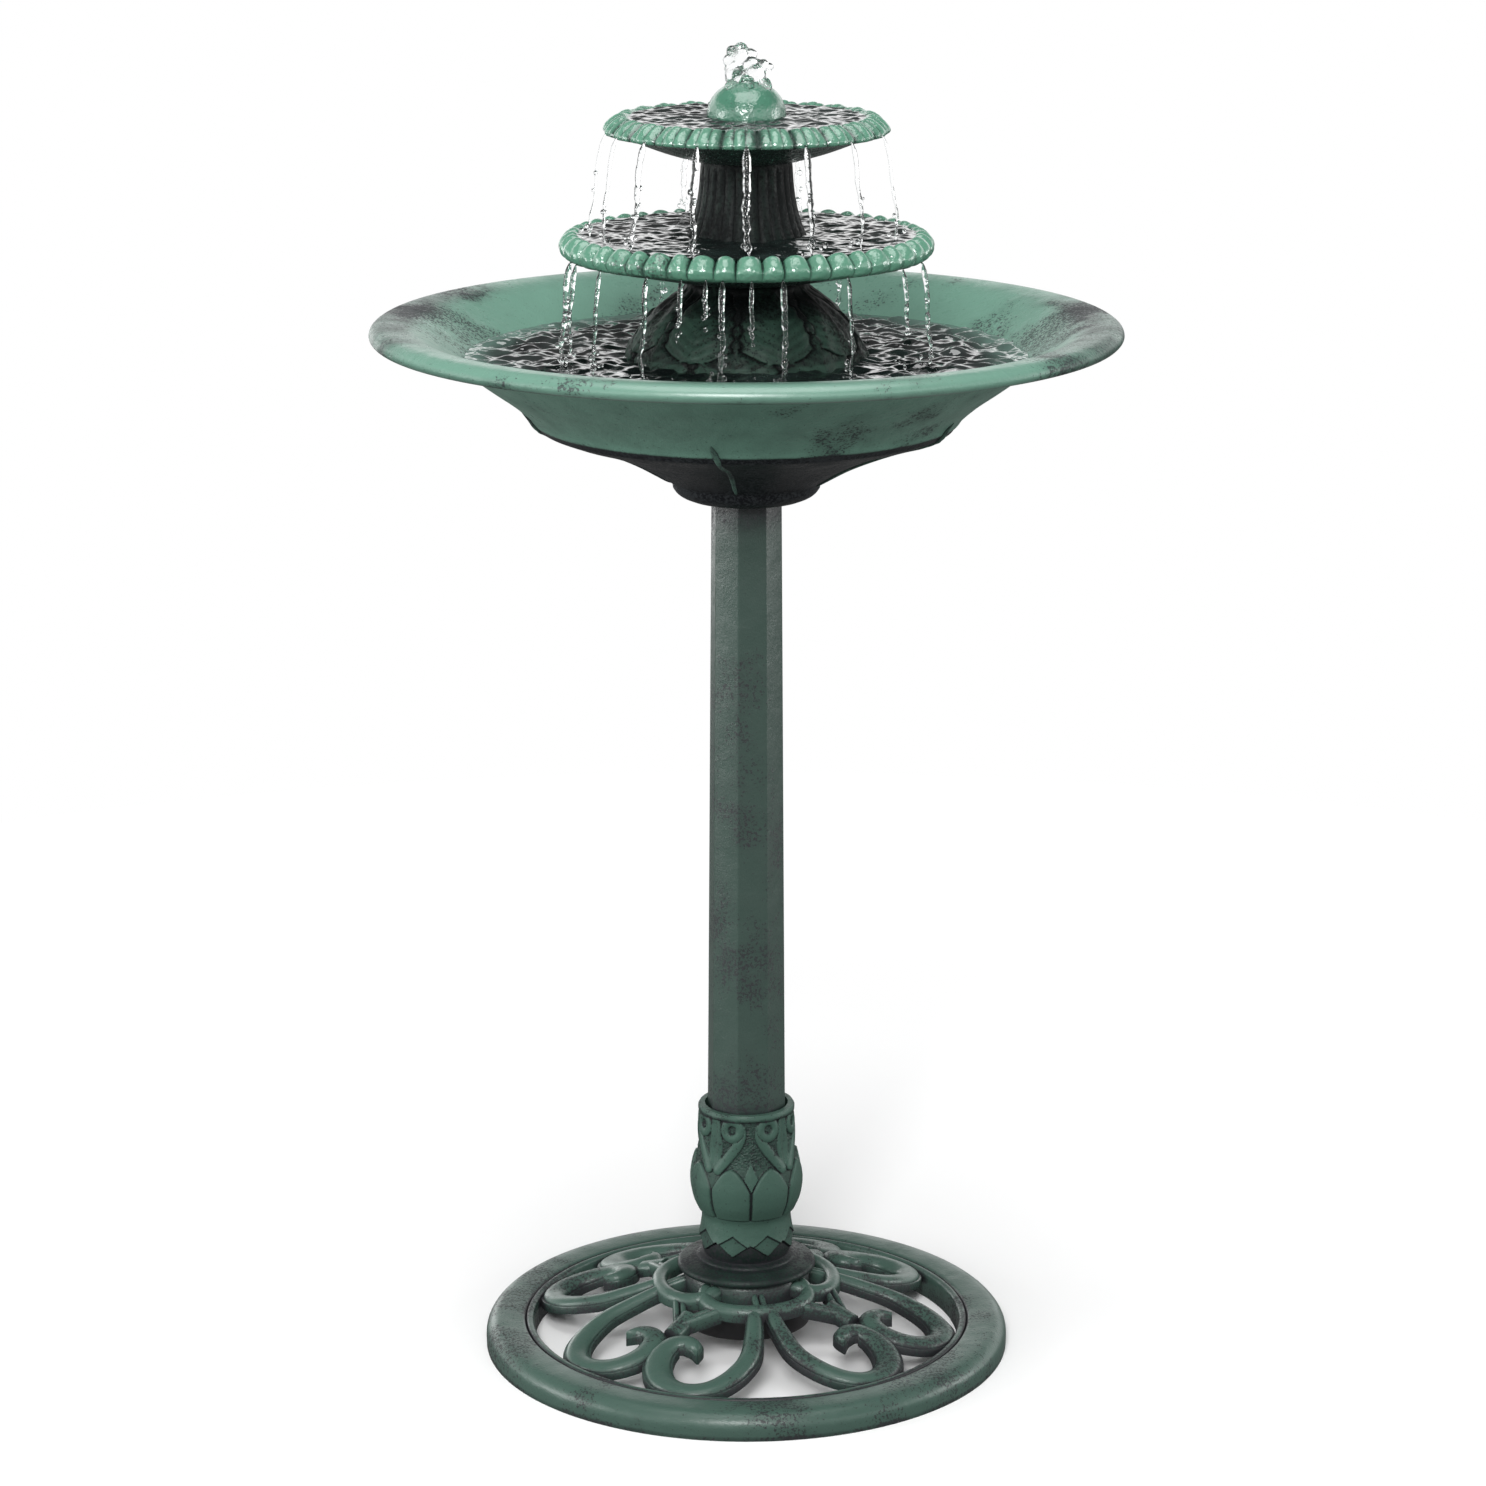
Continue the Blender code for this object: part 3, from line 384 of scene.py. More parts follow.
def grown(base, tree, result, material, **values):
    """Ends the tree with Realize Instances and Set Material, and gives the plain mesh that it makes of
    base. base itself goes."""
    solid = result.add("GeometryNodeRealizeInstances", None, {0: result})
    finished = solid.add("GeometryNodeSetMaterial", None, {"Geometry": solid, "Material": material})
    tree.links.new(finished.socket, tree.nodes.new("NodeGroupOutput").inputs[0])
    modifier = base.modifiers.new(tree.name, "NODES")
    modifier.node_group = tree
    for item in tree.interface.items_tree:
        if item.in_out == "INPUT" and item.name in values:
            modifier[item.identifier] = values[item.name]
    graph = bpy.context.evaluated_depsgraph_get()
    mesh = bpy.data.meshes.new_from_object(base.evaluated_get(graph))
    name = base.name
    bpy.data.objects.remove(base)
    return placed(name, mesh)


def repeated_round(base, material, count, first_turn):
    """Copies of base at even turns round Z."""
    tree, (geometry, copies, turn) = new_tree(base.name + "_round", Copies=count, First_turn=first_turn)
    points = geometry.add("GeometryNodePoints", None, {"Count": copies})
    index = geometry.add("GeometryNodeInputIndex")
    angle = index * (math.tau / count) + turn
    vector = angle.add("ShaderNodeCombineXYZ", None, {"Z": angle})
    rotation = vector.add("FunctionNodeEulerToRotation", None, {0: vector})
    copied = points.add("GeometryNodeInstanceOnPoints", None,
                        {"Points": points, "Instance": geometry, "Rotation": rotation})
    return grown(base, tree, copied, material, Copies=count, First_turn=first_turn)


foot_resin = weathered("foot_resin", (0.052, 0.097, 0.078, 1), (0.018, 0.030, 0.027, 1), sponged=0.62,
                       rough=0.30, gloss=0.42)

ring_outline = np.vstack([
    eased([(0, 0), (0, 0.0100), (-0.0022, 0.0155), (-0.0075, 0.0198), (-0.0160, 0.0209),
           (0.0110 - rim_width, 0.0204), (0.0083 - rim_width, 0.0196)], 5) + (rim_out, 0),
    eased([(0.0070, 0.0174), (0.0062, 0.0196), (0.0042, 0.0203), (0.0016, 0.0192), (0.0002, 0.0160)], 4)
    + (rim_in, 0),
    [(rim_in, 0.0), (rim_in + 0.006, 0.0), (rim_in + 0.007, 0.014), (rim_out - 0.010, 0.015),
     (rim_out - 0.006, 0.0)],
])


def ring_wash(radius, height, angle):
    """Dark paint in the groove, and darker along the rim's bottom."""
    groove = np.exp(-(((radius - rim_in - 0.0068) / 0.0016) ** 2)) * (height > 0.010)
    return np.clip(0.95 * groove + 0.55 * (height < 0.004) + 0.15 * (radius < rim_in + 0.0045), 0, 1)


# Shares of the rim's inner radius, with half widths in metres, from a loop to the rim and back to the head
SCROLL = [(0.042, 0.422, 0.0066), (0.060, 0.525, 0.0074), (0.105, 0.680, 0.0088), (0.187, 0.783, 0.0098),
          (0.283, 0.846, 0.0104), (0.380, 0.861, 0.0110), (0.470, 0.822, 0.0114), (0.527, 0.738, 0.0117),
          (0.533, 0.639, 0.0117), (0.497, 0.554, 0.0115), (0.434, 0.509, 0.0108), (0.377, 0.524, 0.0094),
          (0.343, 0.572, 0.0066), (0.345, 0.630, 0.0008)]
LOOP = (0.253, 0.157, 0.241)  # centre, radial and sideways half sizes
LOOP_HALF_WIDTH = 0.0062
BAR_HALF_WIDTH = 0.0052
BAR_START = (0.193, 0.355)
HEAD_BLOCK = (0.475, 0.605)
BLOCK_HALF_WIDTH = 0.0078
DEPTH = 0.012  # of every bar

lipped = np.vstack([[(-1, -DEPTH), (-1, -0.0066), (-0.97, -0.0058), (-0.88, -0.0058)],
                    arch(0.83, -0.0056, 15),
                    [(0.88, -0.0058), (0.97, -0.0058), (1, -0.0066), (1, -DEPTH)]])
rounded = np.vstack([[(-1, -DEPTH)], arch(1.0, -0.0062, 15), [(1, -DEPTH)]])
rib = arch(0.5, -0.0034, 9)
ribbed = np.vstack([[(-1, -DEPTH)], rib - (0.5, 0), (rib + (0.5, 0))[1:], [(1, -DEPTH)]])

scroll_line = eased([(x * rim_in, y * rim_in, half) for x, y, half in SCROLL], 9)
scroll_line[:, 2] = np.maximum(scroll_line[:, 2], 0.0005)
mirrored_line = scroll_line[::-1] * (-1, 1, 1)
turns = np.arange(64) * math.tau / 64
loop_line = np.stack([LOOP[2] * rim_in * np.sin(turns), (LOOP[0] + LOOP[1] * np.cos(turns)) * rim_in,
                      np.full(len(turns), LOOP_HALF_WIDTH)], -1)
diagonal = math.sqrt(0.5) * rim_in
corner = sum(HEAD_BLOCK) / 2 * diagonal
bar_line = eased([(BAR_START[0] * rim_in, BAR_START[1] * rim_in, BAR_HALF_WIDTH),
                  (corner, corner, BAR_HALF_WIDTH)], 10)
spoke_line = eased([(0, hub_radius - 0.006, BAR_HALF_WIDTH),
                    (0, (LOOP[0] + LOOP[1]) * rim_in, BAR_HALF_WIDTH)], 8)
block_line = eased([(share * diagonal, share * diagonal, BLOCK_HALF_WIDTH) for share in HEAD_BLOCK], 8)

quarter = joined("foot_tracery", [
    sweep("loop", loop_line, rounded, foot_resin, 0.0012, closed=True),
    sweep("left_scroll", scroll_line, lipped, foot_resin, 0.0004, groove=0.8),
    sweep("right_scroll", mirrored_line, lipped, foot_resin, 0.0, groove=0.8),
    sweep("head_block", block_line, rounded, foot_resin, -0.0006),
    sweep("left_bar", bar_line, ribbed, foot_resin, -0.0014, groove=0.8),
    sweep("right_bar", bar_line[::-1][:, [1, 0, 2]], ribbed, foot_resin, -0.0018, groove=0.8),
    sweep("spoke", spoke_line, ribbed, foot_resin, -0.0030, groove=0.9),
])
tracery = repeated_round(quarter, foot_resin, 4, math.pi + FOOT_TURN)

hub_low = hub_top - 0.0195
hub_outline = np.vstack([[(BOLT_HOLE, hub_low), (BOLT_HOLE, hub_top), (hub_radius - 0.003, hub_top)],
                         eased([(hub_radius - 0.0015, hub_top - 0.0004), (hub_radius, hub_top - 0.003)], 4),
                         [(hub_radius, hub_low)]])
foot = joined("foot_casting", [
    lathe("foot_ring", ring_outline, 320, foot_resin, wash_and_shade=ring_wash),
    lathe("foot_hub", hub_outline, 96, foot_resin, wash_and_shade=0.7),
    tracery,
])
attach(foot, "pedestal")
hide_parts("foot_openwork")


# ------------------------------------------------------------------ clamp cup and foot bolt
# A black plastic cup under the hub, and the zinc-plated bolt with its washer and plug that draw the
# foot, the collar and the column together.

cup_low, cup_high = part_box("clamp_cup")
CUP_WALL = 0.003
CUP_EDGE = 0.0042  # of the rounding round its lower edge


def moulded(name, colour, rough, grain=0.00008):
    """Plain moulded plastic or rubber with a fine matt texture and a little dust."""
    material, wire, shader = new_material(name, Specular_IOR_Level=0.45)
    place = wire.add("ShaderNodeTexCoord", out="Object")
    dust = place.noise(60.0, 4.0).between(0.45, 0.80)
    lighter = tuple(min(1.0, channel * 1.8 + 0.012) for channel in colour[:3]) + (1,)
    connect(shader, Base_Color=(dust * 0.5).blend(colour, lighter), Roughness=dust * 0.15 + rough,
            Normal=place.noise(1600.0, 2.0).bump(grain))
    return material


black_plastic = moulded("black_plastic", (0.012, 0.012, 0.013, 1), 0.42)
black_rubber = moulded("black_rubber", (0.020, 0.020, 0.021, 1), 0.75)

top, bottom, edge = cup_high[2], cup_low[2], cup_high[0]
cup_outline = np.vstack([
    [(BOLT_HOLE, top), (edge - 0.0006, top), (edge, top - 0.0006)],
    eased([(edge, bottom + CUP_EDGE), (edge - 0.0012, bottom + 0.0012), (edge - CUP_EDGE, bottom)], 5),
    [(edge - CUP_EDGE - CUP_WALL, bottom), (edge - CUP_WALL, bottom + 0.005),
     (edge - CUP_WALL, top - CUP_WALL), (BOLT_HOLE, top - CUP_WALL)],
])
cup = lathe("hub_cup", cup_outline, 128, black_plastic)
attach(cup, "pedestal")
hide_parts("clamp_cup")


def plated(name, colour, rough):
    """Plated or turned metal with fine turning marks."""
    material, wire, shader = new_material(name, Metallic=1.0)
    place = wire.add("ShaderNodeTexCoord", out="Object")
    marks = place.add("ShaderNodeTexWave", {"wave_type": "RINGS", "rings_direction": "Z"},
                      {"Vector": place, "Scale": 900.0, "Distortion": 1.5})
    stain = place.noise(180.0, 4.0).between(0.4, 0.8)
    darker = tuple(channel * 0.6 for channel in colour[:3]) + (1,)
    connect(shader, Base_Color=stain.blend(colour, darker), Roughness=stain * 0.2 + rough,
            Normal=marks.bump(0.00001))
    return material


zinc = plated("zinc_plate", (0.62, 0.62, 0.60, 1), 0.28)


def refinish(material, *names):
    """Gives CAD nodes this material."""
    for name in names:
        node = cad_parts[name]
        node.data.materials.clear()
        node.data.materials.append(material)


refinish(zinc, "foot_bolt", "foot_washer")
refinish(black_plastic, "foot_plug", "top_plug")


# ------------------------------------------------------------------ leaf collar
# A hollow baluster in the foot's resin. Eight bulging petals stand on a row of pointed leaves; above
# them four pairs of ribbon scrolls cross a stippled ground, under a plain top ring.

collar_low, collar_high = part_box("leaf_collar")
COLLAR_SEAM = math.radians(5.0)  # azimuth of the middle seam of the front pair of petals
PETAL_FOOT, PETAL_SHOULDER, PETAL_TIP = 0.1105, 0.1352, 0.1530
RING_CENTRE = (22.5, 0.1838)  # degrees from the pair's seam, height
RING_RADIUS, RING_HALF_WIDTH = 0.0068, 0.0034
RIBBON = [(12.0, 0.1850), (11.5, 0.1785), (17.0, 0.1705), (27.0, 0.1615), (38.5, 0.1515)]
RIBBON_HALF_WIDTH = 0.0041
DEGREE = 0.00068  # length of a degree round the collar

collar_resin = weathered("collar_resin", (0.050, 0.098, 0.077, 1), (0.008, 0.015, 0.013, 1), sponged=0.50,
                         rough=0.38, gloss=0.17, hollow=0.005)


def evenly(line, count):
    """The line again, with this many points at even distances."""
    line = np.asarray(line, float)
    way = np.concatenate([[0.0], np.cumsum(np.linalg.norm(np.diff(line, axis=0), axis=1))])
    spots = np.linspace(0.0, way[-1], count)
    return np.stack([np.interp(spots, way, line[:, k]) for k in range(line.shape[1])], -1)


def soft(value, low, high):
    """0 below low and 1 above high."""
    share = np.clip((value - low) / (high - low), 0.0, 1.0)
    return share * share * (3 - 2 * share)


def to_line(x, y, line):
    """Distance of points to a line of (x, y) points."""
    nearest = np.full(np.shape(x), np.inf)
    for (ax, ay), (bx, by) in zip(line[:-1], line[1:]):
        length = (bx - ax) ** 2 + (by - ay) ** 2
        along = np.clip(((x - ax) * (bx - ax) + (y - ay) * (by - ay)) / length, 0.0, 1.0)
        nearest = np.minimum(nearest, np.hypot(x - ax - along * (bx - ax), y - ay - along * (by - ay)))
    return nearest


def collar_relief(height, angle):
    """(relief in metres, dark wash, 1 where the ground is stippled) of the collar's skin."""
    turn = np.degrees(angle - COLLAR_SEAM)
    pair = np.abs((turn + 45.0) % 90.0 - 45.0)  # degrees from the pair's own seam
    petal = np.abs((turn % 45.0) - 22.5)  # degrees from the petal's middle
    across, up = pair * DEGREE, height
    relief = np.full(np.shape(height), -0.0024)
    dark = np.full(np.shape(height), 0.45)

    ground = soft(up, 0.150, 0.156) * (1 - soft(up, 0.187, 0.190))
    aside = np.abs(pair - 45.0) * DEGREE
    leaf = soft(0.0085 - aside * 1.15 - 0.15 * np.abs(up - 0.168), 0, 0.0008) * soft(up, 0.150, 0.152)
    relief = np.where(leaf > 0.5, -0.0011 - 0.25 * np.abs(aside - 0.0035), relief)
    dark = np.where(leaf > 0.5, 0.12, dark)

    ribbon = eased([(turn * DEGREE, z) for turn, z in RIBBON], 5)
    off_ring = np.abs(np.hypot(across - RING_CENTRE[0] * DEGREE, up - RING_CENTRE[1]) - RING_RADIUS)
    for off, half, top, fall in ((to_line(across, up, ribbon), RIBBON_HALF_WIDTH, -0.0002, 0.0010),
                                 (off_ring, RING_HALF_WIDTH, -0.0001, 0.0011)):
        relief = np.where(off < half, top - fall * (off / half) ** 2, relief)
        dark = np.where(off < half, 0.04 + 0.35 * (off / half) ** 6, dark)

    bud = (across < 0.0062 - 0.42 * np.abs(up - 0.1440)) & (up > PETAL_SHOULDER)
    relief = np.where(bud, -0.0008 - 0.0875 * across, relief)
    dark = np.where(bud, 0.10, dark)

    half_width = 22.5 * np.sqrt(np.clip((PETAL_TIP - up) / (PETAL_TIP - PETAL_SHOULDER), 0.0, 1.0))
    half_width = np.where(up < PETAL_SHOULDER, 22.5, half_width)
    inside = (half_width - petal) * DEGREE
    on = (inside > 0) & (up > PETAL_FOOT)
    seam = np.exp(-((inside / 0.0011) ** 2))
    bulge = 0.0008 * (1 - (petal / 22.5) ** 2)
    relief = np.where(on, bulge - 0.0007 - 0.0020 * seam, relief)
    dark = np.where(on, 0.90 * np.exp(-((inside / 0.0009) ** 2)) + 0.02, dark)

    band = up <= PETAL_FOOT
    relief = np.where(band, -0.0006 - 0.0012 * np.exp(-(((PETAL_FOOT - up) / 0.0016) ** 2)), relief)
    dark = np.where(band, 0.10 + 0.35 * np.exp(-(((PETAL_FOOT - up) / 0.0014) ** 2)), dark)
    zigzag = 0.0866 + 0.0094 * (1 - petal / 22.5)
    under = zigzag - up
    relief = np.where(under > 0, -0.0022 + 0.0007 * np.exp(-((under / 0.004) ** 2)), relief)
    dark = np.where(under > -0.0007, 0.30 + 0.65 * np.exp(-((under / 0.0010) ** 2)), dark)
    second = 0.0795 + 0.0100 * petal / 22.5 - up
    relief = np.where(second > 0, -0.0040, relief)
    dark = np.where(second > -0.0006, 0.95, dark)
    flange = soft(0.0735 - up, 0.0, 0.002)
    top_ring = soft(up, 0.1905, 0.1915)
    relief = relief * (1 - flange) * (1 - top_ring)
    dark = dark * (1 - flange) * (1 - top_ring) + flange * 0.80 + top_ring * 0.06
    dark = np.maximum(dark, 0.9 * np.exp(-(((up - 0.1908) / 0.0008) ** 2)))
    dark = np.where((up > 0.0690) & (up < 0.0775), 0.97, dark)
    stipple = ground * (relief < -0.002)
    return relief, np.clip(dark, 0, 1), stipple


SOCKET = 0.0322  # that takes the column
SOCKET_FLOOR = 0.006
flange = collar_high[0]
collar_height = collar_high[2] - collar_low[2]
skin = np.vstack([
    eased([(flange - 0.0035, 0.0), (flange - 0.0008, 0.0012), (flange, 0.0035), (flange - 0.0016, 0.0062),
           (flange - 0.0060, 0.0076), (0.0440, 0.0084), (0.0385, 0.0096)], 6),
    eased([(0.0372, 0.0125), (0.0386, 0.0180), (0.0384, 0.0245), (0.0362, 0.0360), (0.0354, 0.0455),
           (0.0382, 0.0510), (0.0424, 0.0610), (0.0442, 0.0735), (0.0428, 0.0860), (0.0397, 0.1010),
           (0.0379, 0.1235), (0.0376, collar_height - 0.0045)], 8),
])
skin = np.vstack([evenly(skin, 236), [(0.0374, collar_height - 0.0020), (0.0362, collar_height)]])
collar_outline = np.vstack([skin, [(SOCKET, collar_height), (SOCKET, SOCKET_FLOOR), (BOLT_HOLE, SOCKET_FLOOR),
                                   (BOLT_HOLE, 0.0)]]) + (0.0, collar_low[2])
collar_skin = len(skin)


def collar_shape(radius, height, angle):
    relief, _, stipple = collar_relief(height[:collar_skin], angle[:collar_skin])
    grain = np.array([noise.noise(Vector((a * 26, h * 900, 0))) for a, h in
                      zip(angle[:collar_skin].ravel(), height[:collar_skin].ravel())])
    radius = radius.copy()
    radius[:collar_skin] += relief + stipple * grain.reshape(relief.shape) * 0.0009
    return radius, height


def collar_wash(radius, height, angle):
    return collar_relief(height, angle)[1]


collar = lathe("leaf_baluster", collar_outline, 400, collar_resin, collar_shape, collar_wash)
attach(collar, "pedestal")
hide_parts("leaf_collar")


# ------------------------------------------------------------------ column
# An octagonal resin tube with soft corners, a little narrower at its top, where the basin's neck
# slides over it. It is darker just under the neck and near its foot.

column_low, column_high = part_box("column")
COLUMN_FOOT_RADIUS, COLUMN_TOP_RADIUS = 0.0317, 0.0269  # to the corners
COLUMN_CORNER = math.radians(-12.3)  # azimuth of a corner
COLUMN_WALL = 0.0027
CORNER_ROUNDING = 0.0022

column_resin = weathered("column_resin", (0.042, 0.071, 0.059, 1), (0.014, 0.018, 0.019, 1), sponged=0.56,
                         rough=0.30, gloss=0.45, soot_and_shade=(0.018, 0.018, 0.022, 1), grain=0.00015)


def octagon(radius, rounding, steps):
    """Points of an octagon with round corners, each with its azimuth from the first corner."""
    half = math.pi / 8
    flat = radius * math.cos(half) - rounding
    points = []
    for side in range(8):
        corner_angle = COLUMN_CORNER + side * 2 * half
        centre = flat / math.cos(half)
        for step in range(steps):
            turn = corner_angle - half + 2 * half * step / (steps - 1)
            points.append((centre * math.sin(corner_angle) + rounding * math.sin(turn),
                           -centre * math.cos(corner_angle) - rounding * math.cos(turn)))
    return np.array(points)


rings, washes = [], []
levels = np.linspace(column_low[2], column_high[2], 60)
for wall, inner_wash, way in ((0.0, 0.0, levels), (COLUMN_WALL, 0.9, levels[::-1])):
    for level in way:
        share = (level - column_low[2]) / (column_high[2] - column_low[2])
        radius = COLUMN_FOOT_RADIUS + (COLUMN_TOP_RADIUS - COLUMN_FOOT_RADIUS) * share - wall
        ring = octagon(radius, CORNER_ROUNDING, 5)
        rings.append(np.column_stack([ring, np.full(len(ring), level)]))
        # darker just under the basin's neck and near the collar
        darker_top, darker_foot = soft(level, 0.640, 0.672), soft(0.205 - level, 0, 0.012)
        washes.append(np.full(len(ring), 0.9 * darker_top + 0.5 * darker_foot + inner_wash))
column = mesh_piece("octagonal_pole", np.concatenate(rings), grid_faces(len(rings), len(rings[0]), True),
                    column_resin, np.clip(np.concatenate(washes), 0, 1))
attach(column, "pedestal")
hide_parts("column")


# ------------------------------------------------------------------ basin
# A thin resin bowl with a broad rolled rim. A thick neck under it slides over the column, and five
# raised vine stems run from the bowl down the neck. Inside, thin tendrils stand out of the cone.

basin_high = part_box("basin")[1]
floor_level = 0.7054  # of the bowl's inside
basin_radius = basin_high[0]
BASIN_WALL = 0.0045
NECK_BORE = 0.0277
STEM_HOLE = 0.0083
COVER_SEAT = 0.0965

basin_resin = weathered("basin_resin", (0.125, 0.245, 0.190, 1), (0.007, 0.008, 0.010, 1), sponged=0.42,
                        rough=0.27, gloss=0.16, soot_and_shade=(0.026, 0.030, 0.033, 1), grain=0.0003, film=0.0003)
wire = Wire(basin_resin.node_tree)
place = wire.add("ShaderNodeTexCoord", out="Object")
splashed = place.add("ShaderNodeSeparateXYZ", None, {0: place}, out="Y").between(-0.215, -0.262)
shader = basin_resin.node_tree.nodes["Principled BSDF"]
shader.inputs["Coat Roughness"].default_value = 0.30
connect(shader, Coat_Weight=splashed)

# (radius, height over the bowl's floor)
neck_line = eased([(0.0437, -0.0314), (0.0490, -0.0292), (0.0524, -0.0268), (0.0543, -0.0244),
                   (0.0551, -0.0232)], 4)
throat_line = eased([(0.0560, -0.0190), (0.0680, -0.0115), (0.0830, -0.0030), (0.1000, 0.0045),
                     (0.1200, 0.0118), (0.1400, 0.0178)], 6)
step_line = eased([(0.1446, 0.0196), (0.1476, 0.0206), (0.1529, 0.0227), (0.1550, 0.0238)], 3)
cone_line = eased([(0.1563, 0.0256), (0.1593, 0.0286), (0.1640, 0.0346), (0.1769, 0.0456),
                   (0.1936, 0.0573), (0.2130, 0.0714), (basin_radius - 0.0465, 0.0860)], 6)
rim_line = eased([(-0.0300, 0.0868), (-0.0150, 0.0880), (-0.0050, 0.0890), (-0.0008, 0.0918),
                  (-0.0001, 0.0952), (-0.0025, 0.0990), (-0.0095, 0.1019), (-0.0250, 0.1006),
                  (-0.0370, 0.0962), (-0.0500, 0.0880)], 7) + (basin_radius, 0.0)
inner_cone = eased([(0.2000, 0.0680), (0.1860, 0.0585), (0.1730, 0.0490), (0.1600, 0.0400),
                    (0.1500, 0.0300), (0.1420, 0.0250), (0.1129, 0.0165), (COVER_SEAT + 0.007, 0.0118)], 6)
seat_line = [(COVER_SEAT + 0.005, 0.0103), (COVER_SEAT - 0.005, 0.0103), (COVER_SEAT - 0.008, 0.0073),
             (0.070, 0.0)]
middle_line = [(STEM_HOLE, 0.0), (STEM_HOLE, -BASIN_WALL), (NECK_BORE, -BASIN_WALL), (NECK_BORE, -0.0315)]
under_line = np.vstack([neck_line, [(0.0556, -0.0196)], throat_line, step_line, cone_line])
basin_outline = np.vstack([under_line, rim_line, inner_cone, seat_line, middle_line]) + (0.0, floor_level)


def basin_shade_and_wash(radius, height, angle):
    """Light above, and painted shade under the bowl: deeper below the rim, and nearly black in the throat
    and on the neck.
    """
    rise = height - floor_level
    below = np.zeros_like(rise)
    below[:len(under_line)] = 1.0
    above = 1 - below
    # painted shade under the bowl
    wash_and_shade = below * (0.08 + 0.92 * soft(0.0300 - rise, 0.0, 0.0060))
    wash_and_shade += below * (np.exp(-(((rise - 0.0262) / 0.0016) ** 2)) + 0.10 * soft(0.0800 - rise, 0, 0.02))
    wash_and_shade += above * soft(0.0300 - rise, 0, 0.02) * 0.6
    # painted shade under the outer curl of the rim
    wash_and_shade += above * 0.45 * soft(0.0905 - rise, 0.0, 0.0016) * (radius > basin_radius - 0.028)
    sides = 0.60 * soft(np.abs(np.sin(angle + 0.10)), 0.72, 1.0) + 0.12 * soft(-np.cos(angle), 0.2, 0.9)
    wash_and_shade += above * sides * soft(radius, basin_radius - 0.045, basin_radius - 0.022)
    front_left = np.exp(-(((angle - math.tau + 0.75) / 0.28) ** 2)) * (radius > basin_radius - 0.04)
    wash_and_shade += above * 0.30 * front_left * soft(0.0985 - rise, 0, 0.006)
    return np.clip(wash_and_shade, 0, 1)


basin_shell = lathe("basin_shell", basin_outline, 320, basin_resin, wash_and_shade=basin_shade_and_wash)


def on_basin(azimuth, radius, inside):
    """A point on the bowl's underside or inside."""
    line = inner_cone[::-1] if inside else under_line
    height = np.interp(radius, line[:, 0], line[:, 1]) + floor_level
    return (radius * math.sin(azimuth), -radius * math.cos(azimuth), height)


def vine_line(points, inside=False):
    """(degrees, radius, half width) points as places on the bowl with their half widths."""
    return [(*on_basin(math.radians(turn), radius, inside), half) for turn, radius, half in eased(points, 7)]


def tube(name, line, around=10):
    """A round tube through (x, y, z, radius) points, closed at both ends."""
    line = np.asarray(line, float)
    along = np.gradient(line[:, :3], axis=0)
    along /= np.linalg.norm(along, axis=1)[:, None]
    side = np.cross(along, (0.02, 0.03, 1.0))
    flat = np.linalg.norm(side, axis=1) < 0.25
    side[flat] = np.cross(along[flat], (0.2, 1.0, 0.1))
    side /= np.linalg.norm(side, axis=1)[:, None]
    for i in range(1, len(side)):
        carried = side[i - 1] - along[i] * np.dot(side[i - 1], along[i])
        side[i] = carried / np.linalg.norm(carried)
    over = np.cross(along, side)
    turn = np.arange(around) * math.tau / around
    ring = side[:, None] * np.cos(turn)[None, :, None] + over[:, None] * np.sin(turn)[None, :, None]
    points = (line[:, None, :3] + ring * line[:, None, 3:]).reshape(-1, 3)
    points = np.vstack([points, line[0, :3], line[-1, :3]])
    faces = grid_faces(len(line), around, False)
    last = (len(line) - 1) * around
    for a in range(around):
        b = (a + 1) % around
        faces.append([b, a, len(points) - 2])
        faces.append([last + a, last + b, len(points) - 1])
    return mesh_piece(name, points, faces, wash_and_shade=0.35, spun=False, creased=False)


def washed(piece, wash_and_shade):
    """The piece, with the same wash all over."""
    values = piece.data.attributes["wash_and_shade"].data
    values.foreach_set("value", np.full(len(values), wash_and_shade, np.float32))
    return piece


# (degrees, radius, half width) down the underside: a leaf's tip over the step, a knot, then a thin stem
VINE = [(-1.0, 0.1690, 0.0004), (-0.7, 0.1640, 0.0018), (0.0, 0.1580, 0.0024), (0.3, 0.1530, 0.0016),
        (0.4, 0.1470, 0.0019), (1.2, 0.1250, 0.0018), (1.0, 0.0980, 0.0020), (0.4, 0.0760, 0.0018),
        (0.2, 0.0620, 0.0014), (0.2, 0.0575, 0.0006)]
VINES = 5
vine = tube("underside_vine", vine_line(VINE))
vines = washed(repeated_round(vine, basin_resin, VINES, math.radians(-7.6)), 0.55)
TENDRILS = [
    [(38.0, 0.1500, 0.0006), (42.0, 0.1700, 0.0011), (50.0, 0.1860, 0.0012), (60.0, 0.1900, 0.0011),
     (67.0, 0.1800, 0.0009), (70.0, 0.1640, 0.0005)],
    [(58.0, 0.1560, 0.0005), (64.0, 0.1720, 0.0010), (74.0, 0.1800, 0.0011), (86.0, 0.1760, 0.0005)],
]
tendrils = []
for number, points in enumerate(TENDRILS):
    strand = tube(f"tendril_{number}", vine_line(points, inside=True), 8)
    tendrils.append(washed(repeated_round(strand, basin_resin, VINES, math.radians(62.0)), 0.12))

basin = joined("wide_basin", [basin_shell, vines, *tendrils])
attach(basin, "pedestal")
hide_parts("basin")

refinish(black_rubber, "basin_seal", "cord_grommet")
refinish(black_plastic, "basin_nut")


# ------------------------------------------------------------------ pump
# A small submersible pump on four rubber feet: potted motor block, volute with its outlet, slotted
# intake box with its foam and flow knob, and a magnet rotor on a ceramic shaft.

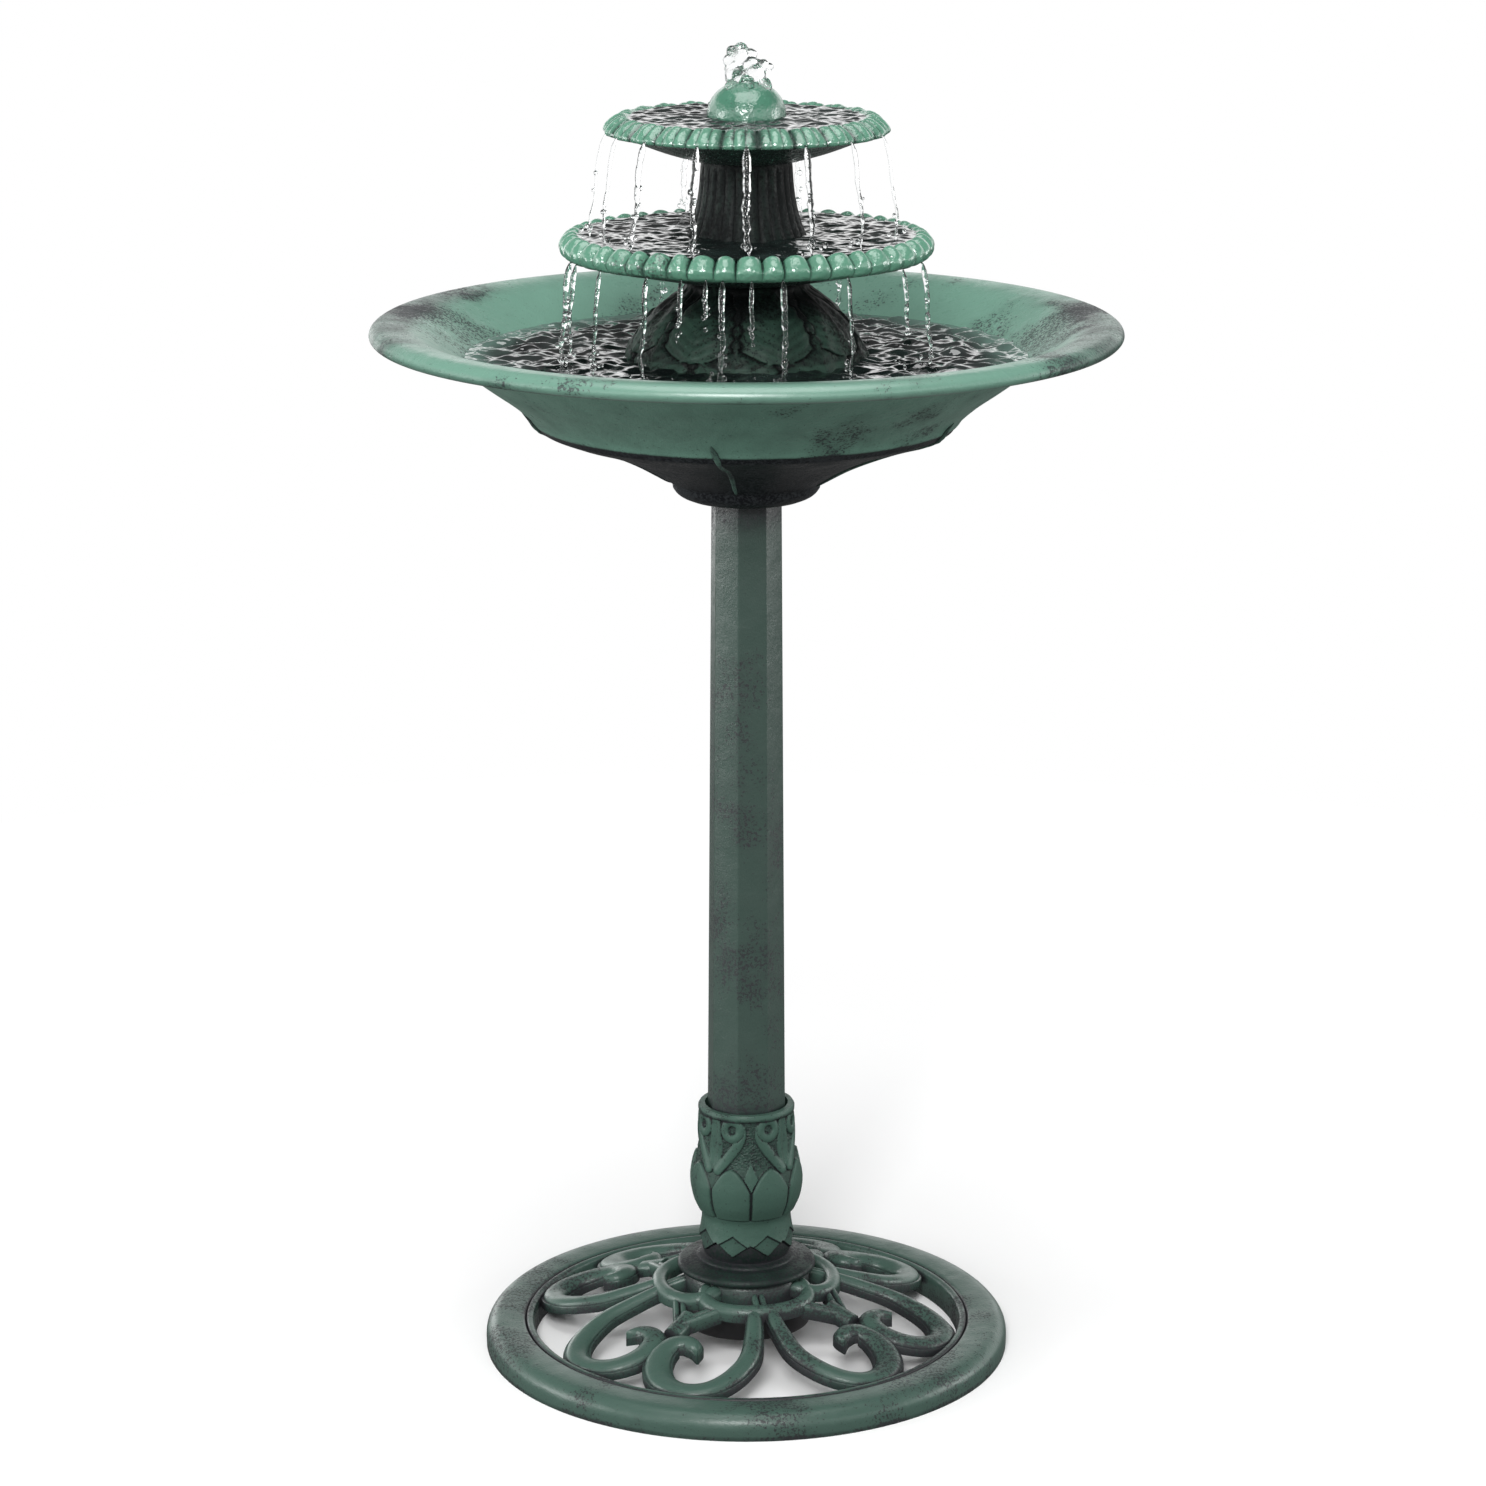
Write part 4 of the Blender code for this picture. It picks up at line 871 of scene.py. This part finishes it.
refinish(black_plastic, "pump_body", "volute_cover", "intake_grille", "flow_knob", "riser_tube")
refinish(black_rubber, "cord_gland", "suction_foot_1", "suction_foot_2", "suction_foot_3", "suction_foot_4")
refinish(moulded("white_ceramic", (0.78, 0.77, 0.73, 1), 0.22, 0.00001), "rotor_shaft")
refinish(moulded("blue_rotor", (0.030, 0.060, 0.160, 1), 0.38, 0.00003), "impeller")

filter_foam, wire, shader = new_material("filter_foam", Specular_IOR_Level=0.2)
place = wire.add("ShaderNodeTexCoord", out="Object")
cells = place.add("ShaderNodeTexVoronoi", None, {"Vector": place, "Scale": 900.0}, out="Distance")
connect(shader, Base_Color=cells.between(0.1, 0.6).blend((0.010, 0.011, 0.012, 1), (0.05, 0.053, 0.056, 1)),
        Roughness=cells * 0.1 + 0.85, Normal=cells.bump(0.0006))
refinish(filter_foam, "filter_sponge")


# ------------------------------------------------------------------ pump cover
# A domed resin cover, nearly black, that stands on the basin's seat over the pump. Three rows of
# overlapping leaves with raised veins cover it.

cover_low, cover_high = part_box("pump_cover")
COVER_WALL = 0.0035
COVER_MOUTH = 0.036
LEAF_ROWS = ((0.000, 0.066, 0.0), (0.034, 0.100, 0.5), (0.072, 0.126, 0.0))  # foot, tip, offset
LEAVES = 8  # in each row

dark_resin = weathered("dark_resin", (0.028, 0.060, 0.044, 1), (0.004, 0.006, 0.006, 1), sponged=0.60,
                       rough=0.44, gloss=0.13, soot_and_shade=(0.003, 0.004, 0.004, 1), grain=0.0004, film=0.0004)
cover_foot = cover_low[2]
cover_radius = cover_high[0]
cover_height = cover_high[2] - cover_foot
crown = COVER_MOUTH + 0.0065
DOME = [(1.0, 0.0), (0.992, 0.150), (0.982, 0.286), (0.935, 0.434), (0.891, 0.517), (0.806, 0.615),
        (0.685, 0.714), (0.509, 0.806), (0.306, 0.884), (0.120, 0.941), (0.028, 0.988), (0.0, 1.0)]
dome_line = evenly(eased([(crown + out * (cover_radius - crown), up * cover_height) for out, up in DOME], 6),
                   150)
inner_dome = [(max(radius - COVER_WALL, COVER_MOUTH + 0.001), min(up, cover_height - 0.011))
              for radius, up in dome_line[::-8]]


def leaf_relief(height, angle):
    """(relief, dark wash) of rows of veined leaves; a higher row's tips lie over the row below."""
    relief = np.full(np.shape(height), -0.0016)
    dark = np.full(np.shape(height), 0.95)
    for low, high, offset in LEAF_ROWS:
        up = (height - low) / (high - low)
        side = ((angle * LEAVES / math.tau + offset + 0.12) % 1.0 - 0.5) * 2.0
        width = np.clip(1.12 * np.sin(np.clip(up, 0, 1) ** 0.75 * math.pi) ** 0.55, 0.0, 1.0)
        lobes = 1.0 - 0.10 * np.abs(np.sin(up * 19.0))
        inside = width * lobes - np.abs(side)
        on = (inside > 0) & (up > 0) & (up < 1)
        veins = np.sin((up * 9.0 - np.abs(side) * 2.4) * math.pi) ** 2
        rise = 0.0014 * (1 - np.clip(np.abs(side) / np.maximum(width, 0.05), 0, 1) ** 2) + 0.0003 * veins
        rise += 0.0007 * np.exp(-((side / 0.06) ** 2)) - 0.0020 * np.exp(-((inside / 0.07) ** 2))
        relief = np.where(on, rise - 0.0016, relief)
        shade = 0.52 + 0.16 * (1 - veins) + 0.5 * np.exp(-((inside / 0.08) ** 2)) - 0.22 * (up < 0.55)
        dark = np.where(on, shade, dark)
    return relief, np.clip(dark, 0.0, 1.0)


def cover_shape(radius, height, angle):
    count = len(dome_line)
    up = height[:count] - cover_foot
    relief, _ = leaf_relief(up, angle[:count])
    lumps = np.array([noise.noise(Vector((math.sin(a) * 7, math.cos(a) * 7, h * 80)))
                      for a, h in zip(angle[:count].ravel(), up.ravel())]).reshape(up.shape)
    fade = soft(up, 0.010, 0.016) * soft(cover_height - 0.002 - up, 0.0, 0.006)
    radius = radius.copy()
    radius[:count] += (relief + 0.0022 * lumps) * fade
    return radius, height


def cover_wash(radius, height, angle):
    return leaf_relief(height - cover_foot, angle)[1]


cover_outline = np.vstack([dome_line, [(COVER_MOUTH, cover_height), (COVER_MOUTH, cover_height - 0.010)],
                           inner_dome]) + (0.0, cover_foot)
cover = lathe("leaf_dome", cover_outline, 400, dark_resin, cover_shape, cover_wash)
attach(cover, "dish_stack")
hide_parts("pump_cover")


# ------------------------------------------------------------------ middle dish
# A shallow resin dish with a rim of rounded lobes, wide and narrow by turns. It stands in the cover's
# mouth on a short spigot, and always runs with water.

middle_low, middle_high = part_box("middle_dish")
MIDDLE_RADIUS = middle_high[0]
SPIGOT_DEPTH = 0.010
SPIGOT_WALL = 0.003
FIT_GAP = 0.0003
DISH_WALL = 0.004
RISER_HOLE = 0.009
WIDE_SHARE = 0.5625  # of a pair of lobes that the wide one takes
LOBE_PAIRS = 24
LOBE_DEPTH = 0.0062

dish_resin = weathered("dish_resin", (0.092, 0.232, 0.160, 1), (0.008, 0.020, 0.016, 1), sponged=0.30,
                       rough=0.15, gloss=0.95, soot_and_shade=(0.014, 0.034, 0.026, 1), grain=0.0002, film=0.0014,
                       hollow=0.0025)

seat = middle_low[2] + SPIGOT_DEPTH - FIT_GAP
edge = MIDDLE_RADIUS
under_side = eased([(0.0480, 0.0), (0.0800, 0.0062), (edge - 0.016, 0.0152), (edge - 0.0085, 0.0168)], 6)
lobe_side = eased([(-0.0055, 0.0172), (-0.0018, 0.0200), (0.0, 0.0246), (-0.0012, 0.0292), (-0.0050, 0.0334),
                   (-0.0098, 0.0356), (-0.0140, 0.0340), (-0.0172, 0.0290)], 6) + (edge, 0.0)
upper_side = eased([(edge - 0.0215, 0.0235), (0.0900, 0.0135), (0.0520, DISH_WALL)], 6)


def dish_outline(spigot, under, rim, upper):
    """A dish's outline over its seat, from the riser's hole round the spigot, with its rim's rows."""
    foot = [(RISER_HOLE, 0.0), (spigot - SPIGOT_WALL, 0.0), (spigot - SPIGOT_WALL, FIT_GAP - SPIGOT_DEPTH),
            (spigot, FIT_GAP - SPIGOT_DEPTH), (spigot, 0.0)]
    first = len(foot) + len(under)
    return np.vstack([foot, under, rim, upper, [(RISER_HOLE, DISH_WALL)]]), slice(first, first + len(rim))


middle_outline, lobes = dish_outline(COVER_MOUTH - FIT_GAP, under_side, lobe_side, upper_side)


def lobe_bulge(angle):
    """1 on a lobe's middle and 0 in the crease between two lobes."""
    place = (angle + 0.06) * LOBE_PAIRS / math.tau % 1.0
    wide = place < WIDE_SHARE
    middle = np.where(wide, WIDE_SHARE / 2, (1 + WIDE_SHARE) / 2)
    half = np.where(wide, WIDE_SHARE / 2, (1 - WIDE_SHARE) / 2)
    return np.sqrt(np.clip(1.0 - ((place - middle) / half) ** 2, 0.0, 1.0))


def middle_shape(radius, height, angle):
    radius, height = radius.copy(), height.copy()
    spread = np.sin(np.linspace(0.12, 1.0, len(lobe_side)) * math.pi * 0.93)[:, None]
    drop = (1.0 - lobe_bulge(angle[lobes])) * LOBE_DEPTH
    radius[lobes] -= drop * spread
    height[lobes] -= drop * 1.25 * soft(height[lobes], seat + 0.022, seat + 0.034)
    return radius, height


def middle_wash(radius, height, angle):
    wash_and_shade = np.zeros_like(radius)
    wash_and_shade[:lobes.start] = 0.85
    crease = 1.0 - lobe_bulge(angle[lobes])
    wash_and_shade[lobes] = 0.32 * crease**5 + 0.45 * soft(seat + 0.0195 - height[lobes], 0.0, 0.003)
    wash_and_shade[lobes.stop:] = 0.35
    return np.clip(wash_and_shade, 0, 1)


middle_dish = lathe("lobed_dish", middle_outline + (0.0, seat), 960, dish_resin, middle_shape, middle_wash)
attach(middle_dish, "dish_stack")
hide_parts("middle_dish")
refinish(black_rubber, "middle_grommet", "top_grommet")


# ------------------------------------------------------------------ fluted stem
# A dark resin sleeve between the two dishes, flared at its foot, with upright flutes all round.

stem_low, stem_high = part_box("fluted_stem")
FLUTES = 26
FLUTE_DEPTH = 0.0013
STEM_MOUTH = 0.030
stem_foot, stem_height = stem_low[2], stem_high[2] - stem_low[2]
stem_line = evenly(eased([(0.0452, 0.0), (0.0464, 0.0060), (0.0463, 0.0180), (0.0448, 0.0270),
                          (0.0408, 0.0370), (0.0372, 0.0500), (0.0350, 0.0640),
                          (0.0338, stem_height - 0.004), (0.0332, stem_height)], 6), 60)
stem_outline = np.vstack([stem_line, [(STEM_MOUTH, stem_height), (STEM_MOUTH, stem_height - SPIGOT_DEPTH),
                                      (0.0335, 0.045), (0.0410, 0.025), (0.0405, 0.0)]]) + (0.0, stem_foot)


def stem_flutes(angle):
    """0 on the arrises between the flutes and 1 in their middles."""
    return np.abs(np.sin(angle * FLUTES / 2)) ** 0.7


def stem_shape(radius, height, angle):
    count = len(stem_line)
    rise = height[:count] - stem_foot
    fade = soft(rise, 0.002, 0.008) * soft(stem_height - rise, 0.002, 0.008)
    radius = radius.copy()
    radius[:count] -= FLUTE_DEPTH * (1 - stem_flutes(angle[:count])) * fade
    return radius, height


def stem_wash(radius, height, angle):
    return np.clip(0.74 + 0.26 * (1 - stem_flutes(angle)), 0, 1)


stem = lathe("fluted_sleeve", stem_outline, 520, dark_resin, stem_shape, stem_wash)
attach(stem, "dish_stack")
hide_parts("fluted_stem")


# ------------------------------------------------------------------ top dish
# The small upper dish. Its rim turns over and down in broad scallops, each cut into three flutes, with
# dark stains in the creases between them.

top_low, top_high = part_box("top_dish")
TOP_RADIUS = top_high[0]
SCALLOPS = 24
FLUTES_EACH = 3
SCALLOP_DEPTH = 0.0034
SMALL_FLUTE_DEPTH = 0.0015

top_seat = top_low[2] + SPIGOT_DEPTH - FIT_GAP
edge = TOP_RADIUS
top_under = eased([(0.0410, 0.0), (0.0640, 0.0068), (edge - 0.016, 0.0166), (edge - 0.0090, 0.0184)], 6)
top_rim = eased([(-0.0050, 0.0186), (-0.0012, 0.0196), (0.0, 0.0222), (-0.0022, 0.0262), (-0.0068, 0.0304),
                 (-0.0130, 0.0331), (-0.0185, 0.0312), (-0.0240, 0.0270)], 6) + (edge, 0.0)
top_upper = eased([(edge - 0.0310, 0.0228), (0.0560, 0.0125), (0.0400, DISH_WALL)], 6)
top_outline, rim = dish_outline(STEM_MOUTH - FIT_GAP, top_under, top_rim, top_upper)


def scallop(angle):
    """(broad scallop, small flute), each 1 on its middle and 0 in its creases."""
    broad = np.abs(np.cos((angle + 0.05) * SCALLOPS / 2))
    small = np.abs(np.cos((angle + 0.05) * SCALLOPS * FLUTES_EACH / 2)) ** 0.8
    return broad, small


def top_shape(radius, height, angle):
    radius, height = radius.copy(), height.copy()
    spread = np.sin(np.linspace(0.10, 1.0, len(top_rim)) * math.pi * 0.95)[:, None]
    broad, small = scallop(angle[rim])
    drop = SCALLOP_DEPTH * (1 - broad) + SMALL_FLUTE_DEPTH * (1 - small)
    radius[rim] -= drop * spread
    height[rim] -= 0.7 * drop * spread * soft(height[rim], top_seat + 0.021, top_seat + 0.031)
    return radius, height


def top_wash(radius, height, angle):
    wash_and_shade = np.zeros_like(radius)
    wash_and_shade[:rim.start] = 0.85
    broad, small = scallop(angle[rim])
    uneven = 0.5 + 0.5 * np.sin(angle[rim] * 7 + 1.0) * np.sin(angle[rim] * 11)
    wash_and_shade[rim] = 0.62 * (1 - broad) ** 1.5 * (0.4 + uneven) + 0.55 * (1 - small) ** 2
    wash_and_shade[rim.stop:] = 0.30
    return np.clip(wash_and_shade, 0, 1)


top_dish = lathe("scalloped_dish", top_outline + (0.0, top_seat), 864, dish_resin, top_shape, top_wash)
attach(top_dish, "dish_stack")
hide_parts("top_dish")


# ------------------------------------------------------------------ finial
# A bell-shaped resin cap on a short skirt, with the nozzle pressed into its tip. Water runs over
# it all the time, so it is the wettest piece.

finial_low, finial_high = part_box("finial")
foot_level, tip_level = finial_low[2], finial_high[2]
bell = eased([(0.0215, 0.0), (0.0226, 0.0100), (0.0242, 0.0200), (0.0276, 0.0226), (0.0291, 0.0262),
              (0.0289, 0.0305), (0.0279, 0.0350), (0.0261, 0.0392), (0.0236, 0.0428), (0.0203, 0.0462),
              (0.0160, 0.0489), (0.0122, 0.0507), (0.0104, 0.0519), (0.0098, tip_level - foot_level)], 6)
NOZZLE_HOLE, NOZZLE_FOOT = 0.0043, 0.0064
inner_bell = [(NOZZLE_HOLE, tip_level - foot_level), (NOZZLE_HOLE, 0.0421), (NOZZLE_FOOT, 0.0421),
              (NOZZLE_FOOT, 0.0321), (0.0215, 0.0325), (0.0210, 0.0245), (0.0170, 0.0)]
finial_outline = np.vstack([bell, inner_bell]) + (0.0, foot_level)


def finial_wash(radius, height, angle):
    streaks = 0.5 + 0.5 * np.sin(angle * 9 + 2 * np.sin(angle * 4))
    low = soft(foot_level + 0.030 - height, 0.0, 0.010)
    return np.clip(0.18 * streaks + 0.35 * low, 0, 1)


finial_resin = weathered("finial_resin", (0.055, 0.170, 0.112, 1), (0.008, 0.026, 0.019, 1), sponged=0.25,
                         rough=0.12, gloss=1.00, soot_and_shade=(0.014, 0.030, 0.025, 1), grain=0.0002, film=0.0009,
                         hollow=0.003)
finial = lathe("bell_finial", finial_outline, 192, finial_resin, wash_and_shade=finial_wash)
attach(finial, "dish_stack")
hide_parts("finial")
refinish(finial_resin, "nozzle")


# ------------------------------------------------------------------ standing water
# Water fills the basin to just under its rim and stands in both dishes. Its surface is broken into
# short ripples by the streams that fall into it.

BASIN_WATER = 0.7815
MIDDLE_WATER = middle_low[2] + 0.0432
TOP_WATER = top_low[2] + 0.0408

pool_water, wire, shader = new_material("pool_water", IOR=1.90, Roughness=0.05, Specular_IOR_Level=0.5)
place = wire.add("ShaderNodeTexCoord", out="Object")
level_place = place.add("ShaderNodeVectorMath", {"operation": "MULTIPLY"}, {0: place, 1: (1.0, 1.0, 0.0)})
from_axis = place.add("ShaderNodeVectorMath", {"operation": "LENGTH"}, {0: level_place}, out="Value")
near_wall = (place.noise(30.0, 3.0) * 0.05 + from_axis).between(0.195, 0.235)
depths = place.noise(16.0, 3.0).between(0.35, 0.70)
deep_water = depths.blend((0.004, 0.006, 0.006, 1), (0.020, 0.030, 0.028, 1))
connect(shader, Base_Color=near_wall.blend(deep_water, (0.085, 0.150, 0.125, 1)),
        Normal=(place.noise(70.0, 1.0, 0.5) + place.noise(160.0, 1.0) * 0.22).bump(0.0023))


def ripples(x, y, height, scale):
    """Height of the water's ripples at a place."""
    here = Vector((x * 26 * scale, y * 44 * scale, height))
    return 0.6 * noise.noise(here) + 0.4 * noise.noise(here * 2.1 + Vector((7.0, 3.0, 1.0)))


def pool(name, level, edge, bed, steps, rings, swell, scale, hole=0.0):
    """A body of water: a rippled top from the hole out to the edge, and an underside along the bed, a
    line of (radius, height) points just inside the bowl's wall."""
    angle = np.arange(steps) * math.tau / steps
    rows = []
    for radius in np.linspace(hole, edge, rings):
        lift = swell * (soft(edge - radius, 0.0, 0.008) * 0.9 + 0.1)
        rows.append([(radius * math.sin(a), -radius * math.cos(a),
                      level + lift * ripples(radius * math.sin(a), radius * math.cos(a), level, scale))
                     for a in angle])
    for radius, height in bed:
        rows.append([(radius * math.sin(a), -radius * math.cos(a), height) for a in angle])
    points = np.array(rows).reshape(-1, 3)
    return mesh_piece(name, points, grid_faces(len(rows), steps, True), pool_water)


basin_bed = np.array([(0.1860, 0.0570), (0.1600, 0.0385), (0.1500, 0.0290), (0.1420, 0.0240),
                      (0.1100, 0.0150), (0.1030, 0.0098), (0.0690, -0.0008),
                      (0.0, -0.0008)]) + (0.0, floor_level)
basin_water = pool("basin_water", BASIN_WATER, 0.2090, basin_bed, 480, 150, swell=0.0060, scale=1.6)
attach(basin_water, "pedestal")
middle_bed = np.array([(MIDDLE_RADIUS - 0.0150, 0.0300), (MIDDLE_RADIUS - 0.0225, 0.0215), (0.0900, 0.0128),
                       (0.0520, 0.0032), (0.0425, 0.0032)]) + (0.0, seat)
middle_water = pool("middle_dish_water", MIDDLE_WATER, MIDDLE_RADIUS - 0.0118, middle_bed, 400, 70,
                    swell=0.0030, scale=2.2, hole=0.0425)
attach(middle_water, "dish_stack")
top_bed = np.array([(TOP_RADIUS - 0.0250, 0.0250), (TOP_RADIUS - 0.0320, 0.0210), (0.0560, 0.0118),
                    (0.0400, 0.0032), (0.0225, 0.0032)]) + (0.0, top_seat)
top_water = pool("top_dish_water", TOP_WATER, TOP_RADIUS - 0.0155, top_bed, 360, 60,
                 swell=0.0026, scale=2.4, hole=0.0225)
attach(top_water, "dish_stack")


# ------------------------------------------------------------------ falling water
# Each dish sheds its water in separate clear streams that neck, twist and break into drops, and a short
# lumpy jet stands on the nozzle.

clear_water, wire, shader = new_material("clear_water", IOR=1.33, Transmission_Weight=1.0)
place = wire.add("ShaderNodeTexCoord", out="Object")
facing = wire.add("ShaderNodeLayerWeight", None, {"Blend": 0.5}, out="Facing")
shaded = facing.between(0.20, 0.80) * (place.noise(220.0, 2.0) * 0.9 + 0.45)
connect(shader, Base_Color=shaded.between(0.0, 1.0).blend((0.99, 1.0, 1.0, 1), (0.05, 0.07, 0.07, 1)),
        Roughness=place.noise(90.0) * 0.02, Normal=place.noise(420.0, 2.0).bump(0.0004))

random = np.random.default_rng(7)
DROPS = {"Smallest": 0.0006, "Largest": 0.0019, "Spread": 0.0030}  # radii, and how far they scatter


def stream_line(azimuth, start, end, width, length):
    """(x, y, z, radius) points of one stream from (radius, height) to (radius, height). It leaves the rim
    sideways and then falls; length is the share of the way before it breaks off."""
    phase = random.uniform(0, math.tau, 4)
    line = []
    for t in np.linspace(0.0, length, 64):
        out = start[0] + (end[0] - start[0]) * math.sqrt(t)
        wander = 0.0012 * t * (math.sin(9 * t + phase[0]) + 0.5 * math.sin(23 * t + phase[1]))
        side = 0.0014 * t * math.sin(11 * t + phase[2])
        neck = 1 + 0.30 * math.sin(34 * t + phase[3]) * t + 0.22 * math.sin(71 * t + phase[0]) * t
        half = width * (1.0 - 0.42 * math.sqrt(t)) * neck
        half *= min(1.0, 0.25 + 9 * t) * min(1.0, 0.12 + 14 * (length - t) / length)
        line.append(((out + side) * math.sin(azimuth) + wander * math.cos(azimuth),
                     -(out + side) * math.cos(azimuth) + wander * math.sin(azimuth),
                     start[1] + (end[1] - start[1]) * t, half))
    return line


def drops(name, places, seed):
    """Small drops of random size at these places, scattered by Geometry Nodes."""
    mesh = bpy.data.meshes.new(name)
    mesh.from_pydata(places, [], [])
    tree, (geometry, smallest, largest, spread, chosen) = new_tree(name + "_scatter", **DROPS, Seed=seed)
    points = geometry.add("GeometryNodeMeshToPoints", None, {"Mesh": geometry})
    low = geometry.add("ShaderNodeCombineXYZ", None, {axis: -1 * spread for axis in "XYZ"})
    high = geometry.add("ShaderNodeCombineXYZ", None, {axis: spread for axis in "XYZ"})
    shift = geometry.add("FunctionNodeRandomValue", {"data_type": "FLOAT_VECTOR"},
                         {0: low, 1: high, "Seed": chosen})
    moved = geometry.add("GeometryNodeSetPosition", None, {"Geometry": points, "Offset": shift})
    size = geometry.add("FunctionNodeRandomValue", {"data_type": "FLOAT"},
                        {2: smallest, 3: largest, "Seed": chosen + 1}, out=1)
    tall = geometry.add("ShaderNodeCombineXYZ", None, {"X": size, "Y": size, "Z": size * 1.25})
    drop = geometry.add("GeometryNodeMeshIcoSphere", None, {"Radius": 1.0, "Subdivisions": 3})
    copied = geometry.add("GeometryNodeInstanceOnPoints", None,
                          {"Points": moved, "Instance": drop, "Scale": tall})
    piece = grown(placed(name, mesh), tree, copied, clear_water, **DROPS, Seed=seed)
    piece.data.shade_smooth()
    return piece


def falling(name, streams, start, end):
    """One piece of water with all the streams from a dish's rim to the water below."""
    tubes, places = [], []
    for number, (degrees, width, length) in enumerate(streams):
        line = stream_line(math.radians(degrees), start, end, width, length)
        tubes.append(tube(f"{name}_{number}", line, 12))
        tubes[-1].data.materials.append(clear_water)
        for t in random.uniform(0.35, 1.0, 5):
            x, y, z, _ = line[int(t * 63)]
            places.append((x, y, z - (1 - length) * t * 0.02))
        for _ in range(4):
            turn, away = random.uniform(0, math.tau), random.uniform(0.002, 0.009)
            x, y = line[-1][0] + away * math.cos(turn), line[-1][1] + away * math.sin(turn)
            places.append((x, y, end[1] + random.uniform(0.002, 0.010)))
    tubes.append(drops(name + "_drops", places, len(places)))
    return joined(name, tubes)


# (azimuth in degrees, half width at the rim, share of the way that it falls unbroken)
UPPER = [(-77, 0.0012, 1.0), (-63, 0.0015, 1.0), (-44, 0.0026, 1.0), (-19.5, 0.0029, 1.0), (0, 0.0038, 1.0),
         (23.5, 0.0027, 1.0), (45.5, 0.0019, 1.0), (69.5, 0.0014, 1.0), (160, 0.0025, 1.0),
         (183, 0.0019, 1.0), (204, 0.0026, 1.0)]
LOWER = [(-70, 0.0028, 1.0), (-65, 0.0021, 0.85), (-50.5, 0.0020, 1.0), (-31.5, 0.0023, 1.0),
         (-20, 0.0022, 0.42), (-12.2, 0.0021, 0.36), (-7.2, 0.0029, 1.0), (1.5, 0.0020, 0.55),
         (11, 0.0030, 1.0), (32, 0.0019, 1.0), (55.5, 0.0020, 0.60), (69.5, 0.0023, 1.0),
         (150, 0.0022, 1.0), (168, 0.0026, 0.7), (187, 0.0021, 1.0), (207, 0.0024, 1.0)]
upper_streams = falling("upper_streams", UPPER, (TOP_RADIUS - 0.0015, top_seat + 0.0215),
                        (TOP_RADIUS + 0.0120, MIDDLE_WATER - 0.0005))
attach(upper_streams, "dish_stack")
lower_streams = falling("lower_streams", LOWER, (MIDDLE_RADIUS - 0.0030, seat + 0.0190),
                        (MIDDLE_RADIUS + 0.0050, BASIN_WATER - 0.0005))
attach(lower_streams, "pedestal")
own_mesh(lower_streams)

# The jet: swelling lobes of clear water, (x, y, height over the finial's tip, radius), that a fine
# remesh runs together
JET = [(-0.001, 0.0, -0.0010, 0.0105), (-0.008, -0.003, 0.0040, 0.0080), (0.006, -0.001, 0.0045, 0.0082),
       (-0.009, 0.001, 0.0095, 0.0070), (0.004, -0.003, 0.0105, 0.0076), (0.011, 0.001, 0.0105, 0.0048),
       (0.0165, 0.000, 0.0095, 0.0030), (-0.012, 0.000, 0.0150, 0.0054), (-0.004, 0.002, 0.0165, 0.0074),
       (0.003, 0.001, 0.0185, 0.0050), (-0.010, -0.002, 0.0205, 0.0050), (-0.004, 0.000, 0.0226, 0.0052),
       (0.0130, -0.006, -0.0035, 0.0058), (-0.0110, -0.008, -0.0040, 0.0052),
       (0.0020, -0.012, -0.0050, 0.0050)]
jet_bm = bmesh.new()
for x, y, z, radius in JET:
    ball = bmesh.ops.create_icosphere(jet_bm, subdivisions=3, radius=radius)
    bmesh.ops.translate(jet_bm, verts=ball["verts"], vec=(x, y, tip_level + z))
jet_mesh = bpy.data.meshes.new("jet")
jet_bm.to_mesh(jet_mesh)
jet_bm.free()
jet = placed("jet", jet_mesh)
remesh = jet.modifiers.new("run_together", "REMESH")
remesh.mode = "VOXEL"
remesh.voxel_size = 0.0007
smooth = jet.modifiers.new("soften", "SMOOTH")
smooth.iterations = 4
jet_graph = bpy.context.evaluated_depsgraph_get()
jet_skin = bpy.data.meshes.new_from_object(jet.evaluated_get(jet_graph))
bpy.data.objects.remove(jet)
for vert in jet_skin.vertices:
    vert.co += vert.normal * (noise.noise(vert.co * 190.0) * 0.0011)
jet_skin.shade_smooth()
jet_skin.materials.append(clear_water)
jet = placed("jet", jet_skin)
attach(jet, "dish_stack")
